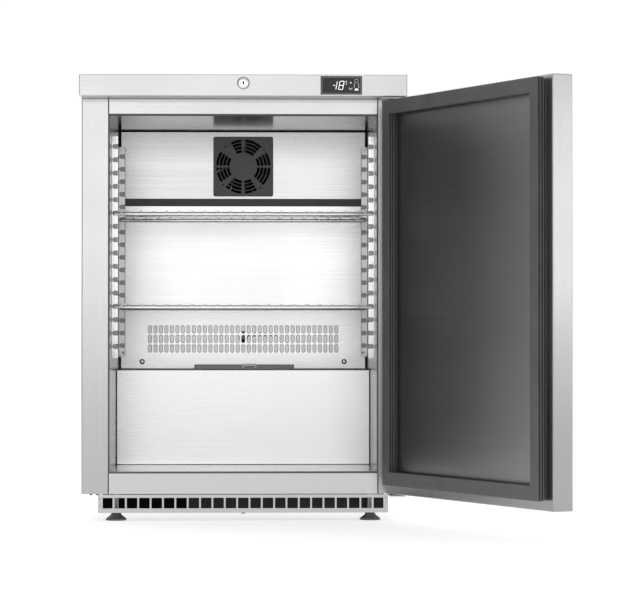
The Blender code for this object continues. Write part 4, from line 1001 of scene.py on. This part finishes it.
def build_plinth():
    half, low, high = 0.268, 0.015, 0.0487
    front, flange = 0.066, (0.0676, 0.0790)
    middle, hole = 0.033, 0.0193 / 2
    count, pitch = 23, 0.0228
    holes = []
    for i in range(count):
        x = (i - count // 2) * pitch
        holes.append(rounded((x - hole, x + hole), (middle - hole, middle + hole), 0.0009, 3))
    parts = [front_sheet(rectangle((-half, half), (low, high)), holes, front, front + 0.0015, 0.0004, 2)]
    parts.append(block((-half, half), flange, (low, low + SHEET), 0.0003))
    for x in ((-half, SHEET - half), (half - SHEET, half)):
        parts.append(block(x, flange, (low + 0.0014, high), 0.0003))
    piece("plinth_grille_sheet", gathered(*parts), PLINTH_STEEL_SHADED, ["plinth_grille"])
    # A black pad behind the grille: painted shade for the dark space under the cabinet.
    pad = block((-0.262, 0.262), (0.1122, 0.1170), (0.0160, 0.0488), 0.0008)
    piece("plinth_pad_shade", pad, SHADE_PAD)
    mesh_panel = block((-0.1020, 0.262), (0.1112, 0.1121), (0.0165, 0.0455), 0.0003, 1)
    piece("plinth_filter", mesh_panel, FILTER)

    dome = [(0.0, 0.0), (0.0019, 0.0), (0.0019, 0.0004), (0.0014, 0.0009), (0.0, 0.0011)]
    heads = []
    for x in (-0.2645, 0.2645):
        heads += [faced(turned(dome, 20), x, front + 0.0001, z) for z in (0.0275, 0.0410)]
    piece("plinth_screws", gathered(*heads), ZINC, weigh=False)
    studs = []
    for x, radius in ((-0.2815, 0.0026), (-0.2690, 0.0034)):
        profile = [(0.0, -0.0030), (radius * 0.8, -0.0030), (radius, -0.0022), (radius, 0.0), (0.0, 0.0)]
        studs.append(moved(turned(profile, 20), (x, 0.080, BODY_BOTTOM - 0.0001)))
    profile = [(0.0, -0.0018), (0.0030, -0.0018), (0.0036, 0.0), (0.0, 0.0)]
    studs.append(moved(turned(profile, 20), (0.0, 0.0735, low - 0.0001)))
    piece("base_studs", gathered(*studs), BLACK_DEEP, weigh=False)


def build_feet():
    base, stem, neck, top = 0.0195, 0.0050, 0.0140, 0.0850
    pad = [
        (0.0, 0.0), (base - 0.0022, 0.0), (base - 0.0006, 0.0004), (base, 0.0014), (base, 0.0030),
        (base - 0.0005, 0.0038), (base - 0.0016, 0.0042), (0.0168, 0.0054), (0.0140, 0.0072),
        (0.0112, 0.0094), (0.0098, 0.0112), (0.0092, 0.0128), (0.0084, 0.0136), (stem, neck), (0.0, neck),
    ]
    thread = [(0.0, neck - 0.0002)]
    pitch, z = 0.0015, neck + 0.0005
    while z < top - 0.0020:
        thread += [(stem - 0.0006, z), (stem, z + pitch / 2)]
        z += pitch
    thread += [(stem - 0.0008, top), (0.0, top)]
    for side, hand in ((-1, "left"), (1, "right")):
        for y, place in zip(FOOT_PLANES, ("front", "rear")):
            node = f"foot_{place}_{hand}"
            spot = (side * FOOT_X, y, 0.0)
            glide = moved(turned(pad, 48), spot)
            piece(node + "_glide", glide, FOOT_PLASTIC, [node], node, smooth=35, weigh=False)
            screw = moved(turned(thread, 24), spot)
            piece(node + "_stem", screw, ZINC, body=node, smooth=70, weigh=False)


build_worktop()
build_body()
build_rear()
build_liner()
build_covers()
build_cover_screws()
build_drip_tab()
build_air_probe()
build_fan()
build_racks()
build_shelves()
build_lock()
build_display()
build_door()
build_plinth()
build_feet()


# ---------------------------------------------------------------- carried-over CAD nodes

CARRIED = {
    "base_pan": REAR_SHEET,
    "breaker_strip": STRIP,
    "compressor": BLACK_PAINT,
    "condenser_coil": ALUMINIUM,
    "condenser_fan_frame": BLACK_PAINT,
    "condenser_fan_rotor": BLACK_PLASTIC,
    "controller": BLACK_PLASTIC,
    "discharge_pipe": COPPER,
    "door_foam": FOAM,
    "drain_tube": WHITE_PLASTIC,
    "drip_tray": DRIP_STEEL,
    "evaporation_tray": BLACK_PLASTIC,
    "evaporator_coil": ALUMINIUM,
    "evaporator_fan_frame": BLACK_PLASTIC,
    "filter_drier": COPPER,
    "hinge_bush_bottom": WHITE_PLASTIC,
    "hinge_bush_top": WHITE_PLASTIC,
    "insulation_foam": FOAM,
    "liner_back": LINER,
    "liner_ceiling": LINER_GLOSS_SHADED,
    "liner_side_left": LINER_SIDE_SHADED,
    "liner_side_right": LINER_SIDE_SHADED,
    "lock_cam": CHROME,
    "mains_gland": BLACK_PLASTIC,
    "suction_pipe": COPPER,
    "terminal_box": BLACK_PLASTIC,
    "worktop_core": BOARD,
}
for node, material in CARRIED.items():
    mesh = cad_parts[node].data
    mesh.materials.clear()
    mesh.materials.append(material)


# ---------------------------------------------------------------- stage, lights and camera


def build_floor():
    """A floor that glows white round the object, painted light that washes out shadows on it, and is grey and
    barely glowing far beside it and near the camera.
    """
    f = Finish("floor_paint_and_glow", Roughness=0.75, Specular_IOR_Level=0.2, Emission_Strength=0.55)
    split = f.node("ShaderNodeSeparateXYZ", Vector=f.space)
    across, along = split.outputs["X"], split.outputs["Y"]
    near = f.spread(f.maths("ABSOLUTE", across), 1.0, 0.0, 1.3, 2.8)
    beyond = f.spread(along, 0.0, 1.0, 0.6, 3.0)
    light = f.maths("MULTIPLY", f.spread(along, 0.0, 1.0, -2.1, -1.45), f.maths("MAXIMUM", near, beyond))
    clouds = f.noise(0.8, 3.0, 0.5)
    pale = f.blend(f.spread(clouds), grey(0.88), grey(0.92))
    f.feed("Base Color", f.blend(light, grey(0.30), pale))
    f.feed("Emission Color", f.blend(light, grey(0.10), grey(1.0)))
    bm = bmesh.new()
    bmesh.ops.create_grid(bm, x_segments=8, y_segments=8, size=30.0)
    floor = new_object("floor", bm_mesh(bm, 0))
    floor.data.materials.append(f.material)


def build_light(name, place, aim, size, power):
    data = bpy.data.lights.new(name, "AREA")
    data.shape = "RECTANGLE"
    data.size, data.size_y = size
    data.energy = power
    lamp = new_object(name, data)
    lamp.location = ORIGIN + Vector(place)
    lamp.rotation_mode = "QUATERNION"
    lamp.rotation_quaternion = (Vector(aim) - Vector(place)).to_track_quat("-Z", "Y")


def build_world():
    """A studio that is white behind the object and grey all round."""
    world = bpy.data.worlds.new("studio")
    bpy.context.scene.world = world
    world.use_nodes = True
    tree = world.node_tree
    background = tree.nodes["Background"]
    background.inputs["Strength"].default_value = 1.0
    coords = tree.nodes.new("ShaderNodeTexCoord")
    split = tree.nodes.new("ShaderNodeSeparateXYZ")
    depth = tree.nodes.new("ShaderNodeMapRange")
    depth.interpolation_type = "SMOOTHSTEP"
    shade = {"From Min": 0.42, "From Max": 0.76, "To Min": 0.42, "To Max": 1.02}
    for key, value in shade.items():
        depth.inputs[key].default_value = value
    tree.links.new(coords.outputs["Generated"], split.inputs["Vector"])
    tree.links.new(split.outputs["Y"], depth.inputs["Value"])
    tree.links.new(depth.outputs["Result"], background.inputs["Color"])


def build_camera():
    data = bpy.data.cameras.new("camera")
    data.sensor_width = 36.0
    data.lens = 155.67
    data.clip_start, data.clip_end = 0.1, 100.0
    camera = new_object("camera", data)
    camera.location = ORIGIN + Vector((-0.0024, -5.0617, 0.3481))
    yaw, pitch = 0.0283, 0.0126
    aim = Vector((math.sin(yaw) * math.cos(pitch), math.cos(yaw) * math.cos(pitch), math.sin(pitch)))
    camera.rotation_mode = "QUATERNION"
    camera.rotation_quaternion = aim.to_track_quat("-Z", "Y")
    bpy.context.scene.camera = camera


build_floor()
build_world()
build_light("key", (0.0, -4.6, 0.88), (0.0, 0.0, 0.50), (3.2, 1.3), 19.5)
build_light("side", (4.2, -2.9, 0.75), (0.42, -0.4, 0.45), (1.6, 1.0), 8.0)
build_light("overhead", (0.0, 0.4, 4.5), (0.0, 0.0, 0.0), (6.0, 6.0), 70.0)
build_camera()
bpy.context.scene.view_settings.view_transform = "Standard"
